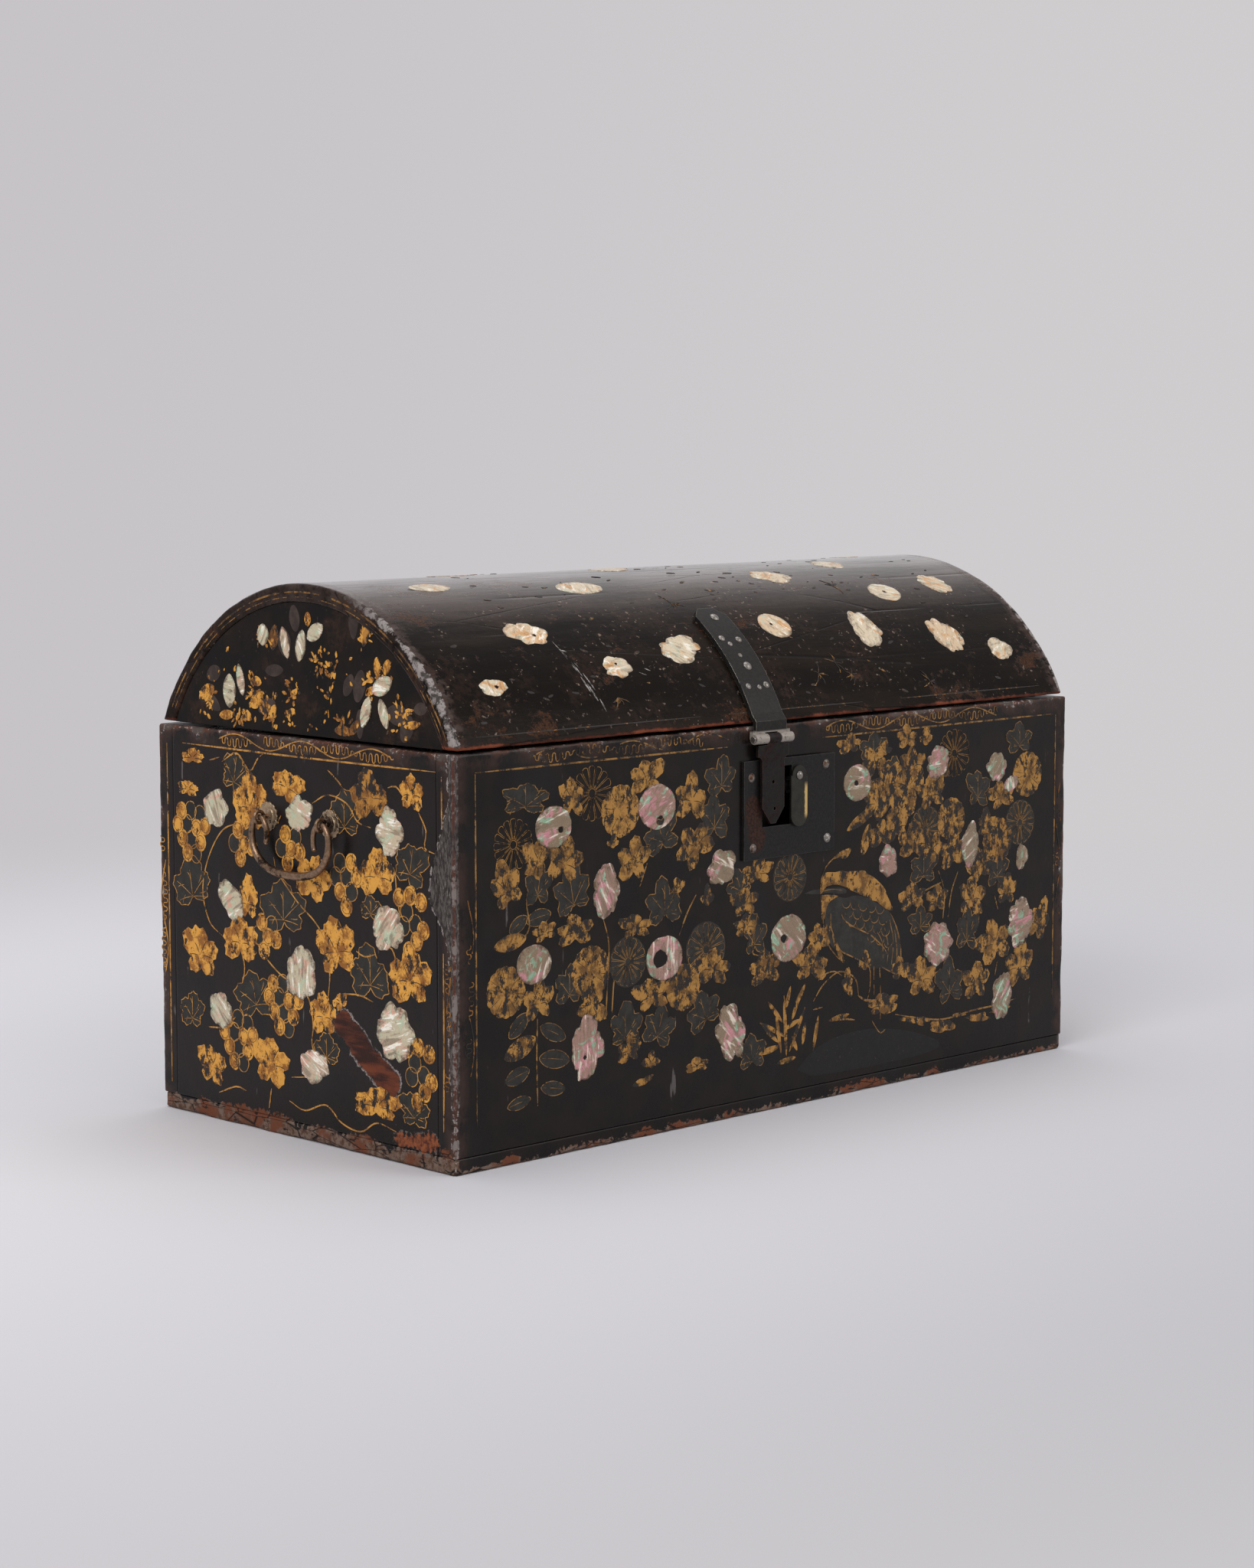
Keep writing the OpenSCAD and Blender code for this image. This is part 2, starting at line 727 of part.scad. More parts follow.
module lid_left_end() {
  color(black) difference() {
    lid_panel();
    for (b = lid_petals) on_left_panel(b) shell_bed_cut(b);
  }
}
module lid_right_end() mirror([1, 0, 0]) lid_left_end();

module lid_pegs() color(dark_wood) for (i = [1:stave_count]) stave_peg_places(i) peg();

// Hasp strap: it follows the barrel, bends out over the rim and ends in two knuckles
module strap_nail_places() {
  for (p = strap_nails_at) on_barrel(hasp_x + p[0], p[1]) translate([0, 0, strap_t]) children();
}

module strap_profile_2d() {
  a = barrel_angle(bend_v);
  translate([0, barrel_z]) intersection() {
    ring_2d(barrel_r + strap_t, barrel_r);
    wedge_2d(a, barrel_angle(strap_run));
  }
  polygon([
    round_barrel(0, a),
    [strap_y, rim_z + 0.4],
    [strap_y, hasp_pin_z + knuckle_cut],
    [strap_y - strap_t, hasp_pin_z + knuckle_cut],
    [strap_y - strap_t, rim_z + 1],
    round_barrel(strap_t, a)
  ]);
}

module strap_knuckle_2d() {
  translate([strap_y - strap_t, hasp_pin_z]) square([strap_t, knuckle_cut + eps]);
  translate([hasp_pin_y, hasp_pin_z]) circle(hasp_knuckle_r);
}

module hasp_strap() {
  side_w = (strap_knuckle_w - leaf_knuckle_w) / 2;
  chamfer = 6;
  color(iron) difference() {
    union() {
      along_x(strap_w, hasp_x) strap_profile_2d();
      for (side = [-1, 1])
        along_x(side_w, hasp_x + side * (leaf_knuckle_w + side_w) / 2) strap_knuckle_2d();
    }
    translate([hasp_x, hasp_pin_y, hasp_pin_z]) bar_x(hasp_pin_r + pin_fit, 2 * strap_w);
    strap_nail_places() nail_hole();
    for (side = [-1, 1])
      on_barrel(hasp_x + side * strap_w / 2, strap_run)
        rotate(45) cube([chamfer * sqrt(2), chamfer * sqrt(2), 5 * strap_t], center = true);
  }
}

module strap_nails() {
  color(worn_iron) for (p = strap_nails_at)
    on_barrel(hasp_x + p[0], p[1]) translate([0, 0, strap_t]) nail(p[2]);
}

module hasp_pin() {
  head = 0.8;
  color(worn_iron) translate([hasp_x, hasp_pin_y, hasp_pin_z]) {
    bar_x(hasp_pin_r, strap_knuckle_w);
    for (way = [-1, 1]) translate([way * (strap_knuckle_w + head) / 2, 0, 0]) bar_x(hasp_pin_r + 0.6, head);
  }
}

// Hasp leaf: broad shoulders under the knuckle, a straight tongue and a point
module hasp_leaf() {
  top = -knuckle_cut - 0.2;
  knuckle_l = leaf_knuckle_w - 2 * run_gap;
  neck_r = (leaf_w - tongue_w) / 2;
  color(iron) translate([hasp_x, hasp_pin_y, hasp_pin_z]) difference() {
    union() {
      rotate([90, 0, 0]) linear_extrude(leaf_t, center = true) difference() {
        union() {
          translate([-leaf_w / 2, -shoulder_z + neck_r]) square([leaf_w, top + shoulder_z - neck_r]);
          polygon([
            [-tongue_w / 2, -shoulder_z + neck_r],
            [-tongue_w / 2, -leaf_l + point_h],
            [-tongue_w / 9, -leaf_l],
            [tongue_w / 9, -leaf_l],
            [tongue_w / 2, -leaf_l + point_h],
            [tongue_w / 2, -shoulder_z + neck_r]
          ]);
        }
        for (side = [-1, 1]) translate([side * leaf_w / 2, -shoulder_z + neck_r]) circle(neck_r);
        for (p = leaf_holes_at) translate(p) circle(leaf_hole_r);
      }
      translate([0, 0, top / 2 - eps / 2]) cube([knuckle_l, leaf_t, eps - top], center = true);
      bar_x(hasp_knuckle_r, knuckle_l);
    }
    bar_x(hasp_pin_r + pin_fit, strap_w);
  }
}

// Back hinges: the lower leaf is flat on the board, the upper one follows the barrel
module lower_hinge_nail_places(side) {
  for (p = hinge_nails_at)
    on_back(p[0] - side * hinge_x, body_h - p[1]) translate([0, 0, hinge_t]) children();
}
module upper_hinge_nail_places(side) {
  for (p = hinge_nails_at)
    on_barrel(side * hinge_x + p[0], barrel_arc - p[1] - web_v) translate([0, 0, hinge_t]) children();
}

module on_hinge_axis(side) translate([side * hinge_x, hinge_y, hinge_z]) children();

module hinge_lower(side) {
  color(iron) difference() {
    union() {
      along_x(hinge_w, side * hinge_x)
        translate([body_d / 2, body_h - hinge_leaf])
          square([hinge_t, hinge_leaf - hinge_knuckle_r - run_gap]);
      along_x(hinge_mid_w - run_gap, side * hinge_x) {
        translate([body_d / 2, body_h - hinge_knuckle_r - 2 * eps])
          square([hinge_t, hinge_knuckle_r + 2 * eps]);
        translate([hinge_y, hinge_z]) circle(hinge_knuckle_r);
      }
    }
    on_hinge_axis(side) bar_x(hinge_pin_r + pin_fit, 2 * hinge_w);
    lower_hinge_nail_places(side) nail_hole();
  }
}

module hinge_upper(side) {
  low = barrel_angle(barrel_arc);
  high = barrel_angle(barrel_arc - web_v);
  side_w = hinge_mid_w - run_gap / 2;
  inside = barrel_angle(barrel_arc - web_v - 1);
  web = [
    [-barrel_r * sin(low) + 0.3, barrel_z + barrel_r * cos(low) + 0.6],
    [hinge_y, hinge_z - 0.4],
    [hinge_y, hinge_z + hinge_knuckle_r - 0.4],
    round_barrel(hinge_t, high),
    round_barrel(hinge_t * 0.7, inside),
    round_barrel(hinge_t * 0.3, inside),
    round_barrel(0, high)
  ];
  color(iron) difference() {
    union() {
      along_x(hinge_w, side * hinge_x) translate([0, barrel_z]) intersection() {
        ring_2d(barrel_r + hinge_t, barrel_r);
        wedge_2d(barrel_angle(barrel_arc - hinge_leaf), high);
      }
      for (way = [-1, 1]) along_x(side_w, side * hinge_x + way * (hinge_w - side_w) / 2) {
        polygon(web);
        translate([hinge_y, hinge_z]) circle(hinge_knuckle_r);
      }
    }
    on_hinge_axis(side) bar_x(hinge_pin_r + pin_fit, 2 * hinge_w);
    upper_hinge_nail_places(side) nail_hole();
  }
}

module hinge_pin(side) color(worn_iron) on_hinge_axis(side) bar_x(hinge_pin_r, hinge_w + 1);

module lower_hinge_nails() {
  color(worn_iron) for (side = [-1, 1]) lower_hinge_nail_places(side) nail(hinge_nail_head);
}
module upper_hinge_nails() {
  color(worn_iron) for (side = [-1, 1]) upper_hinge_nail_places(side) nail(hinge_nail_head);
}

// Shell inlay, one group of pieces for each face
module front_shells() color(pearl) for (b = front_blossoms) on_front_place(b) shell_piece(b);
module left_end_shells() color(pearl) for (b = left_blossoms) on_left_place(b) shell_piece(b);
module right_end_shells() color(pearl) for (b = right_blossoms) on_right_place(b) shell_piece(b);
module lid_left_shells() color(pearl) for (b = lid_petals) on_left_panel(b) shell_piece(b);
module lid_right_shells() mirror([1, 0, 0]) lid_left_shells();

// On the barrel a shell has a flat bed and a top that follows the arc
module barrel_shells() {
  color(pearl) for (b = barrel_blossoms) intersection() {
    on_barrel(b[0] * spread_x, b[1] * spread_v) shell_block(b, barrel_bed, barrel_bed + eps, 2 * pin_fit);
    along_x(lid_w) translate([0, barrel_z]) circle(barrel_r + shell_proud, $fn = barrel_fn);
  }
}

bottom_board();
front_board();
back_board();
left_end_board();
right_end_board();
carcase_pegs();
left_bail();
left_bail_eyes();
left_bail_rosettes();
right_bail();
right_bail_eyes();
right_bail_rosettes();
lock_plate();
lock_plate_nails();
lock_plate_screw();
lock_bolt();
bolt_guides();
lock_spring();
keyhole_cover();
keyhole_rivet();
lid_left_end();
lid_right_end();
lid_pegs();
for (i = [1:stave_count]) lid_stave(i);
hasp_strap();
strap_nails();
hasp_pin();
hasp_leaf();
hinge_lower(-1);  // left_hinge_lower
hinge_upper(-1);  // left_hinge_upper
hinge_pin(-1);  // left_hinge_pin
hinge_lower(1);  // right_hinge_lower
hinge_upper(1);  // right_hinge_upper
hinge_pin(1);  // right_hinge_pin
lower_hinge_nails();
upper_hinge_nails();
front_shells();
left_end_shells();
right_end_shells();
barrel_shells();
lid_left_shells();
lid_right_shells();
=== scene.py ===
import math
import bpy
import numpy as np
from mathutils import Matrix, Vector


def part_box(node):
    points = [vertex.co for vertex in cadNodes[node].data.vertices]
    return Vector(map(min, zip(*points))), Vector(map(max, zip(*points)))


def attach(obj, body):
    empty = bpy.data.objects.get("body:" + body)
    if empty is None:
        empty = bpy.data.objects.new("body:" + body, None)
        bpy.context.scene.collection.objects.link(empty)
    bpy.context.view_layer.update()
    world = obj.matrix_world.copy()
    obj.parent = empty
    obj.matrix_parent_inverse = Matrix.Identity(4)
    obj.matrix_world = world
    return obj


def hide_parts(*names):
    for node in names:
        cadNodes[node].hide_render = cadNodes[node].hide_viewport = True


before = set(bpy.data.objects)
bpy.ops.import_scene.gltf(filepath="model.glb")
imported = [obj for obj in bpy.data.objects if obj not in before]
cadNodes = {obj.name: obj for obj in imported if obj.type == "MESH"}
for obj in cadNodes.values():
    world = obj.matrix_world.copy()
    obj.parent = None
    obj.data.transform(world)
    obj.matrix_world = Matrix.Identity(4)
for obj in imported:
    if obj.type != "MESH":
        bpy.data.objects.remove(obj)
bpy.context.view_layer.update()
toMetres = 0.001
print("stage: frame loaded,", len(cadNodes), "nodes")


def boxMm(node):
    low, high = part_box(node)
    return np.array(low) / toMetres, np.array(high) / toMetres


# Sizes of the coffer in millimetres, read from the frame
frontLow, frontHigh = boxMm("front_board")
bottomLow, bottomHigh = boxMm("bottom_board")
lidEndLow = boxMm("lid_left_end")[0]
halfWidth = frontHigh[0]
halfDepth = -frontLow[1]
bodyTop = frontHigh[2]
lidHalfWidth, _, lidTop = boxMm("lid_stave_5")[1]
lidHalfDepth = -boxMm("lid_stave_1")[0][1]
rimHeight = lidEndLow[2]
panelFace = -lidEndLow[0]
staveCount = sum(name.startswith("lid_stave_") for name in cadNodes)
lidRise = lidTop - rimHeight
barrelRadius = (lidHalfDepth ** 2 + lidRise ** 2) / (2 * lidRise)
barrelMid = lidTop - barrelRadius
rimAngle = math.asin(lidHalfDepth / barrelRadius)
barrelArc = 2 * rimAngle * barrelRadius
staveThick = 9.0


# Places on a face: a runs across it, b up it and h out of it
def onFront(a, b, h):
    return np.stack([a, -halfDepth - h, b], -1)


def onEnd(distance, side):
    # the face that looks to one side at a distance from the middle; a runs to the right as it is seen
    return lambda a, b, h: np.stack([side * (distance + h), side * a, b], -1)


onLeft, onRight = onEnd(halfWidth, -1), onEnd(halfWidth, 1)
onLidLeft, onLidRight = onEnd(panelFace, -1), onEnd(panelFace, 1)
onLeftRim, onRightRim = onEnd(lidHalfWidth, -1), onEnd(lidHalfWidth, 1)


def onBarrel(a, v, h):
    # v is the distance round the arc from the front rim; both rims stay level however deep the point lies
    r = barrelRadius + h
    spread = np.arccos(np.clip((rimHeight - barrelMid) / r, -1, 1))
    angle = spread * (1 - 2 * v / barrelArc)
    return np.stack([a, -r * np.sin(angle), barrelMid + r * np.cos(angle)], -1)


# factors and a mask that scramble a corner's place into its height
scramble = (73856093, 19349663, 83492791, 40503, 1274126177)
scrambleMask = 0x7FFFFFFF


def latticeNoise(points, cell, seed=0):
    # random heights on a lattice of cubes, blended between the corners with smooth weights, from -1 to 1
    q = np.asarray(points, float) / cell
    base = np.floor(q).astype(np.int64)
    f = q - base
    f = f * f * (3 - 2 * f)
    total = np.zeros(len(q))
    for corner in np.ndindex(2, 2, 2):
        c = base + np.array(corner)
        h = (c[:, 0] * scramble[0]) ^ (c[:, 1] * scramble[1]) ^ (c[:, 2] * scramble[2])
        h = (h ^ (seed * scramble[3] + 977)) & scrambleMask
        h = ((h ^ (h >> 13)) * scramble[4]) & scrambleMask
        h = (h ^ (h >> 16)) & 0xFFFF
        weight = np.prod(np.where(np.array(corner) == 1, f, 1 - f), axis=1)
        total += weight * (h / 32767.5 - 1)
    return total


def gridQuads(rows, cols, closed=False):
    # quads between neighbouring rows and columns, with the last column joined to the first if closed
    i, j = np.meshgrid(np.arange(rows - 1), np.arange(cols if closed else cols - 1), indexing="ij")
    i, j = i.ravel(), j.ravel()
    k = (j + 1) % cols
    return np.stack([i * cols + j, (i + 1) * cols + j, (i + 1) * cols + k, i * cols + k], -1)


def newPile():
    return {"co": [], "quads": [], "tris": [], "edge": [], "tone": [], "count": 0}


def addToPile(pile, co, quads, tris, edge, tone):
    start = pile["count"]
    pile["co"].append(co)
    pile["quads"].append(np.asarray(quads, int).reshape(-1, 4) + start)
    pile["tris"].append(np.asarray(tris, int).reshape(-1, 3) + start)
    pile["edge"].append(np.broadcast_to(edge, len(co)).astype(float))
    pile["tone"].append(np.full(len(co), float(tone)))
    pile["count"] = start + len(co)


def makePiece(name, pile, material, body, replaces=(), smooth=True):
    co = np.concatenate(pile["co"]) * toMetres
    quads, tris = np.concatenate(pile["quads"]), np.concatenate(pile["tris"])
    loops = np.concatenate([quads.ravel(), tris.ravel()]).astype(np.int32)
    sizes = np.concatenate([np.full(len(quads), 4), np.full(len(tris), 3)])
    starts = np.concatenate([[0], np.cumsum(sizes)[:-1]]).astype(np.int32)
    mesh = bpy.data.meshes.new(name)
    mesh.vertices.add(len(co))
    mesh.vertices.foreach_set("co", co.astype(np.float32).ravel())
    mesh.loops.add(len(loops))
    mesh.polygons.add(len(sizes))
    mesh.polygons.foreach_set("loop_start", starts)
    mesh.polygons.foreach_set("vertices", loops)
    mesh.polygons.foreach_set("use_smooth", np.full(len(sizes), smooth))
    for key in ("edge", "tone"):
        attribute = mesh.attributes.new(key, "FLOAT", "POINT")
        attribute.data.foreach_set("value", np.concatenate(pile[key]).astype(np.float32))
    mesh.update(calc_edges=True)
    mesh.materials.append(material)
    piece = bpy.data.objects.new(name, mesh)
    bpy.context.scene.collection.objects.link(piece)
    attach(piece, body)
    if replaces:
        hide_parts(*replaces)
    return piece


# Flat shapes: outlines are rows of (a, b) points that run anticlockwise
def turned(points, x, y, degrees):
    a = math.radians(degrees)
    c, s = math.cos(a), math.sin(a)
    return points @ np.array([[c, s], [-s, c]]) + np.array([x, y])


def circle(count):
    # angles once round, and the points of a circle of radius 1 at them
    t = np.linspace(0, 2 * np.pi, count, endpoint=False)
    return t, np.stack([np.cos(t), np.sin(t)], -1)


def ovalOutline(w, h, count=36, rough=0.0, seed=0):
    # an ellipse whose radius wavers by a share of itself
    ring = circle(count)[1]
    waver = 1 + rough * latticeNoise(np.c_[ring * 2.1, np.full(count, seed * 1.7)], 1.0, seed)
    return ring * waver[:, None] * np.array([w / 2, h / 2])


leafForms = {  # number of lobes: their directions from the tip in degrees, and their lengths
    5: ((0, 62, -62, 128, -128), (1.08, 1.00, 0.97, 0.88, 0.84)),
    3: ((0, 72, -72), (1.10, 0.88, 0.84)),
}


def leafOutline(w, h, count=96, lobes=5, seed=0, sharp=True):
    # a leaf about its middle: the outermost of its pointed or broad lobes, toothed, notched at the stem
    t = np.linspace(-np.pi / 2, 1.5 * np.pi, count, endpoint=False)
    depth, power, tooth = (0.36, 1.5, 0.06) if sharp else (0.24, 1.9, 0.085)
    fan, length = np.radians(leafForms[lobes][0]), np.array(leafForms[lobes][1])
    vary = latticeNoise(np.c_[np.arange(lobes) * 1.7, np.full(lobes, seed * 2.3), np.zeros(lobes)], 1.0,
                        seed)
    fan, length = fan + 0.26 * vary[::-1], length * (1 + 0.17 * vary)
    off = np.abs((t[:, None] - np.pi / 2 - fan[None] + np.pi) % (2 * np.pi) - np.pi)
    r = (length * (1 - depth * (off / 0.56) ** power)).max(1)
    r = np.maximum(r, 0.34) * (1 - tooth * np.abs(np.sin((10.5 if sharp else 8.5) * t + seed)))
    r *= 1.13 + 0.10 * latticeNoise(np.c_[np.cos(t) * 3, np.sin(t) * 3, np.full(count, seed * 1.3)], 1.0,
                                    seed + 3)
    return np.stack([np.cos(t), np.sin(t)], -1) * r[:, None] * np.array([w / 2, h / 2])


def bladeOutline(w, h, count=28):
    # a pointed leaf: two arcs that meet at both ends
    t = circle(count)[0]
    across = np.sin(t) * np.abs(np.sin(t)) ** 0.35
    return np.stack([np.cos(t) * w / 2, across * h / 2], -1)


def lobedOutline(w, h, lobes, count=84, bite=0.26, rough=0.05, seed=0, uneven=0.0):
    # the radius swells into rounded lobes with a cusp between them; a slow noise shifts and sizes them
    t, ring = circle(count)
    slow = latticeNoise(np.c_[ring * 1.5, np.full(count, seed * 1.9 + 0.4)], 1.0, seed + 5)
    depth = bite if lobes else 0.0
    r = 1 - depth + depth * np.abs(np.cos(lobes * (t + 0.9 * uneven * slow) / 2)) ** 0.8
    ragged = latticeNoise(np.c_[ring * 5, np.full(count, seed * 3.1)], 1.0, seed)
    r *= (1 + rough * ragged) * (1 + 0.05 * uneven + 0.4 * uneven * slow)
    return ring * r[:, None] * np.array([w / 2, h / 2])


layers = {"step": 0.0007, "count": 47}


def lifted(pile, height):
    # the parts of a pile lie a hair above one another, so that two that overlap don't share a plane
    return height + layers["step"] * (len(pile["co"]) % layers["count"])


def addPatch(pile, outline, face, height=0.1, tone=0.5, middle=None, sink=0.25, dome=0.0):
    # rings between the middle and the outline, a rim that drops below the surface, and a closed underside
    count = len(outline)
    height = lifted(pile, height)
    centre = outline.mean(0) if middle is None else np.asarray(middle, float)
    shares = np.array([0.35, 0.65, 0.88, 0.97, 1.0, 1.0])
    heights = np.array([1 + dome * 0.9, 1 + dome * 0.55, 1 + dome * 0.12, 0.95, 0.4,
                        -sink / height]) * height
    flat = centre + shares[:, None, None] * (outline - centre)[None]
    a = np.r_[centre[0], flat[..., 0].ravel(), centre[0]]
    b = np.r_[centre[1], flat[..., 1].ravel(), centre[1]]
    h = np.r_[height * (1 + dome), np.repeat(heights, count), -sink]
    quads = gridQuads(len(shares), count, closed=True) + 1
    k = np.arange(count)
    top = np.stack([np.zeros(count, int), 1 + k, 1 + (k + 1) % count], -1)
    last = 1 + (len(shares) - 1) * count
    under = np.stack([np.full(count, last + count), last + (k + 1) % count, last + k], -1)
    edge = np.r_[0, np.repeat(shares, count), 1]
    addToPile(pile, face(a, b, h), quads, np.r_[top, under], edge, tone)


def addHoledPatch(pile, outline, hole, face, height, tone, sink=0.25):
    # the same with an inner outline instead of a middle point
    count = len(outline)
    shares = np.array([0.0, 0.0, 0.08, 0.5, 0.9, 1.0, 1.0])
    heights = np.array([-sink, 0.5 * height, height, height * 1.1, height, 0.5 * height, -sink])
    flat = hole[None] + shares[:, None, None] * (outline - hole)[None]
    quads = gridQuads(len(shares), count, closed=True)
    k = np.arange(count)
    last = (len(shares) - 1) * count
    under = np.stack([last + k, k, (k + 1) % count, last + (k + 1) % count], -1)
    edge = np.repeat(np.array([1, 0.96, 0.7, 0.4, 0.8, 0.97, 1]), count)
    co = face(flat[..., 0].ravel(), flat[..., 1].ravel(), np.repeat(heights, count))
    addToPile(pile, co, np.r_[quads, under], (), edge, tone)


def addRibbon(pile, points, width, face, height=0.135, closed=False, tone=0.5, taper=0.35, sink=0.2):
    # a flat bar carried along the points, its sides square to the path, its ends drawn in
    p = np.asarray(points, float)
    height = lifted(pile, height)
    ahead = np.roll(p, -1, 0) - np.roll(p, 1, 0)
    if not closed:
        ahead[0], ahead[-1] = p[1] - p[0], p[-1] - p[-2]
    ahead /= np.maximum(np.linalg.norm(ahead, axis=1), 1e-9)[:, None]
    side = np.stack([-ahead[:, 1], ahead[:, 0]], -1)
    half = np.full(len(p), width / 2)
    if not closed:
        t = np.linspace(0, 1, len(p))
        half = half * (taper + (1 - taper) * np.minimum(1, np.minimum(t, 1 - t) * 6))
    left, right = p + side * half[:, None], p - side * half[:, None]
    rows = np.stack([right, right, left, left], 1)
    h = np.tile([-sink, height, height, -sink], len(p))
    j, n = np.arange(4), (len(p) - 1) * 4
    joint = np.stack([n + j, j, (j + 1) % 4, n + (j + 1) % 4], -1)
    quads = np.r_[gridQuads(len(p), 4, closed=True), joint if closed else [j, n + j[::-1]]]
    addToPile(pile, face(rows[..., 0].ravel(), rows[..., 1].ravel(), h), quads, (), 0.6, tone)


def smoothPath(points, step=2.0):
    # a curve through the points, in cubics: the slope at a point is half the way between its neighbours
    p = np.asarray(points, float)
    p = np.vstack([2 * p[0] - p[1], p, 2 * p[-1] - p[-2]])
    out = []
    for k in range(1, len(p) - 2):
        n = max(2, int(np.linalg.norm(p[k + 1] - p[k]) / step))
        t = np.linspace(0, 1, n, endpoint=False)[:, None]
        a, b, c, d = p[k - 1], p[k], p[k + 1], p[k + 2]
        out.append(0.5 * (2 * b + (c - a) * t + (2 * a - 5 * b + 4 * c - d)
                          * t ** 2 + (3 * b - a - 3 * c + d) * t ** 3))
    return np.vstack(out + [p[-2:-1]])


# Boards and barrel: a closed block on a fine grid whose outer edges are worn down
def ticks(low, high, step, extra=()):
    near = np.array([0, 0.5, 1.1, 1.8, 2.7, 3.8, 5.2])
    if high - low < 20:
        inner = np.linspace(low + near[4], high - near[4], 4)
        values = np.r_[low + near[:5], inner, high - near[:5]]
    else:
        count = max(2, int(round((high - low - 14) / step)))
        values = np.r_[low + near, np.linspace(low + 7, high - 7, count), high - near]
    return np.unique(np.round(np.r_[values, np.asarray(extra, float)], 3))


def blockGrid(axes):
    # six grids on the ticks of the three axes, joined along the twelve edges of the block
    counts = [len(t) - 1 for t in axes]
    corners, quads, start = [], [], 0
    for axis in range(3):
        a, b = [(1, 2), (2, 0), (0, 1)][axis]
        for side in (0, 1):
            ia, ib = np.meshgrid(np.arange(counts[a] + 1), np.arange(counts[b] + 1), indexing="ij")
            grid = np.zeros((ia.size, 3), int)
            grid[:, a], grid[:, b], grid[:, axis] = ia.ravel(), ib.ravel(), side * counts[axis]
            q = gridQuads(counts[a] + 1, counts[b] + 1)
            quads.append((q if side else q[:, ::-1]) + start)
            corners.append(grid)
            start += ia.size
    keys, inverse = np.unique(np.concatenate(corners), axis=0, return_inverse=True)
    co = np.stack([np.asarray(axes[k])[keys[:, k]] for k in range(3)], -1)
    return co, inverse.ravel()[np.concatenate(quads)]


def wearEdges(co, low, high, inset, seed, rough=0.5, chip=1.6):
    # near an edge a point is pulled onto an ellipse between the insets of its two faces;
    # noise varies the insets
    swell = 1 + rough * (latticeNoise(co, 9, seed) * 0.6 + latticeNoise(co, 3.1, seed + 1) * 0.5)
    swell += chip * np.clip(latticeNoise(co, 19, seed + 2) - 0.3, 0, 1)
    swell = np.clip(swell, 0.25, 4)[:, None]
    lowInset, highInset = (np.maximum(np.array(k) * swell, 1e-6) for k in inset)
    inner = np.clip(co, low + lowInset, high - highInset)
    off = co - inner
    share = off / np.where(off < 0, lowInset, highInset)
    length = np.linalg.norm(share, axis=1)
    return inner + off * np.where(length > 1, 1 / np.maximum(length, 1e-9), 1)[:, None]


def blockPile(low, high, steps, inset, seed, extra=((), (), ()), mapping=None, shift=None, **wear):
    low, high = np.array(low, float), np.array(high, float)
    axes = [ticks(low[k], high[k], steps[k], extra[k]) for k in range(3)]
    co, quads = blockGrid(axes)
    moved = wearEdges(co, low, high, inset, seed, **wear)
    if shift is not None:
        moved = shift(co, moved)
    world = moved if mapping is None else mapping(moved[:, 0], moved[:, 1], moved[:, 2])
    pile = newPile()
    addToPile(pile, world, quads, (), 0.0, 0.5)
    return pile


# Finishes: each one is a small tree of nodes on object coordinates, in metres
class Field:
    # a value that changes over a surface and can be reckoned with like a number:
    # each step makes a math node
    __array_ufunc__ = None  # so that numpy leaves the reckoning to this class

    def __init__(self, nodes, socket):
        self.nodes, self.socket = nodes, socket

    def __add__(self, other):
        return self.nodes.math("ADD", self, other)

    def __sub__(self, other):
        return self.nodes.math("SUBTRACT", self, other)

    def __rsub__(self, other):
        return self.nodes.math("SUBTRACT", other, self)

    def __mul__(self, other):
        return self.nodes.math("MULTIPLY", self, other)

    def __truediv__(self, other):
        return self.nodes.math("DIVIDE", self, other)

    def __abs__(self):
        return self.nodes.math("ABSOLUTE", self)

    def fade(self, start, end, low=0.0, high=1.0):
        # a smooth step from low to high between start and end
        steps = {"Value": self, "From Min": start, "From Max": end, "To Min": low, "To Max": high}
        return self.nodes.make("MapRange", steps, interpolation_type="SMOOTHSTEP")


class Nodes:
    def __init__(self, tree):
        self.tree = tree
        tree.nodes.clear()

    def feed(self, socket, value):
        if isinstance(value, Field):
            self.tree.links.new(value.socket, socket)
        elif socket.type == "RGBA":
            socket.default_value = (*value[:3], 1)
        else:
            socket.default_value = value

    def make(self, kind, feeds, output=0, **settings):
        # a node with its settings, its inputs fed, and one of its outputs as a field
        node = self.tree.nodes.new("ShaderNode" + kind)
        for key, value in settings.items():
            setattr(node, key, value)
        for key, value in feeds.items():
            self.feed(node.inputs[key], value)
        return Field(self, node.outputs[output])

    def math(self, operation, a, b=0.0):
        return self.make("Math", {0: a, 1: b}, operation=operation)

    def most(self, first, *others):
        for other in others:
            first = self.math("MAXIMUM", first, other)
        return first

    def least(self, first, other):
        return self.math("MINIMUM", first, other)

    def mix(self, share, a, b):
        return self.make("Mix", {0: share, 6: a, 7: b}, 2, data_type="RGBA")

    def seen(self):
        # 1 for what the camera sees, directly, in a gloss or through glass
        return self.most(*(self.make("LightPath", {}, f"Is {ray} Ray") for ray in ("Camera", "Glossy",
                                                                                   "Transmission")))


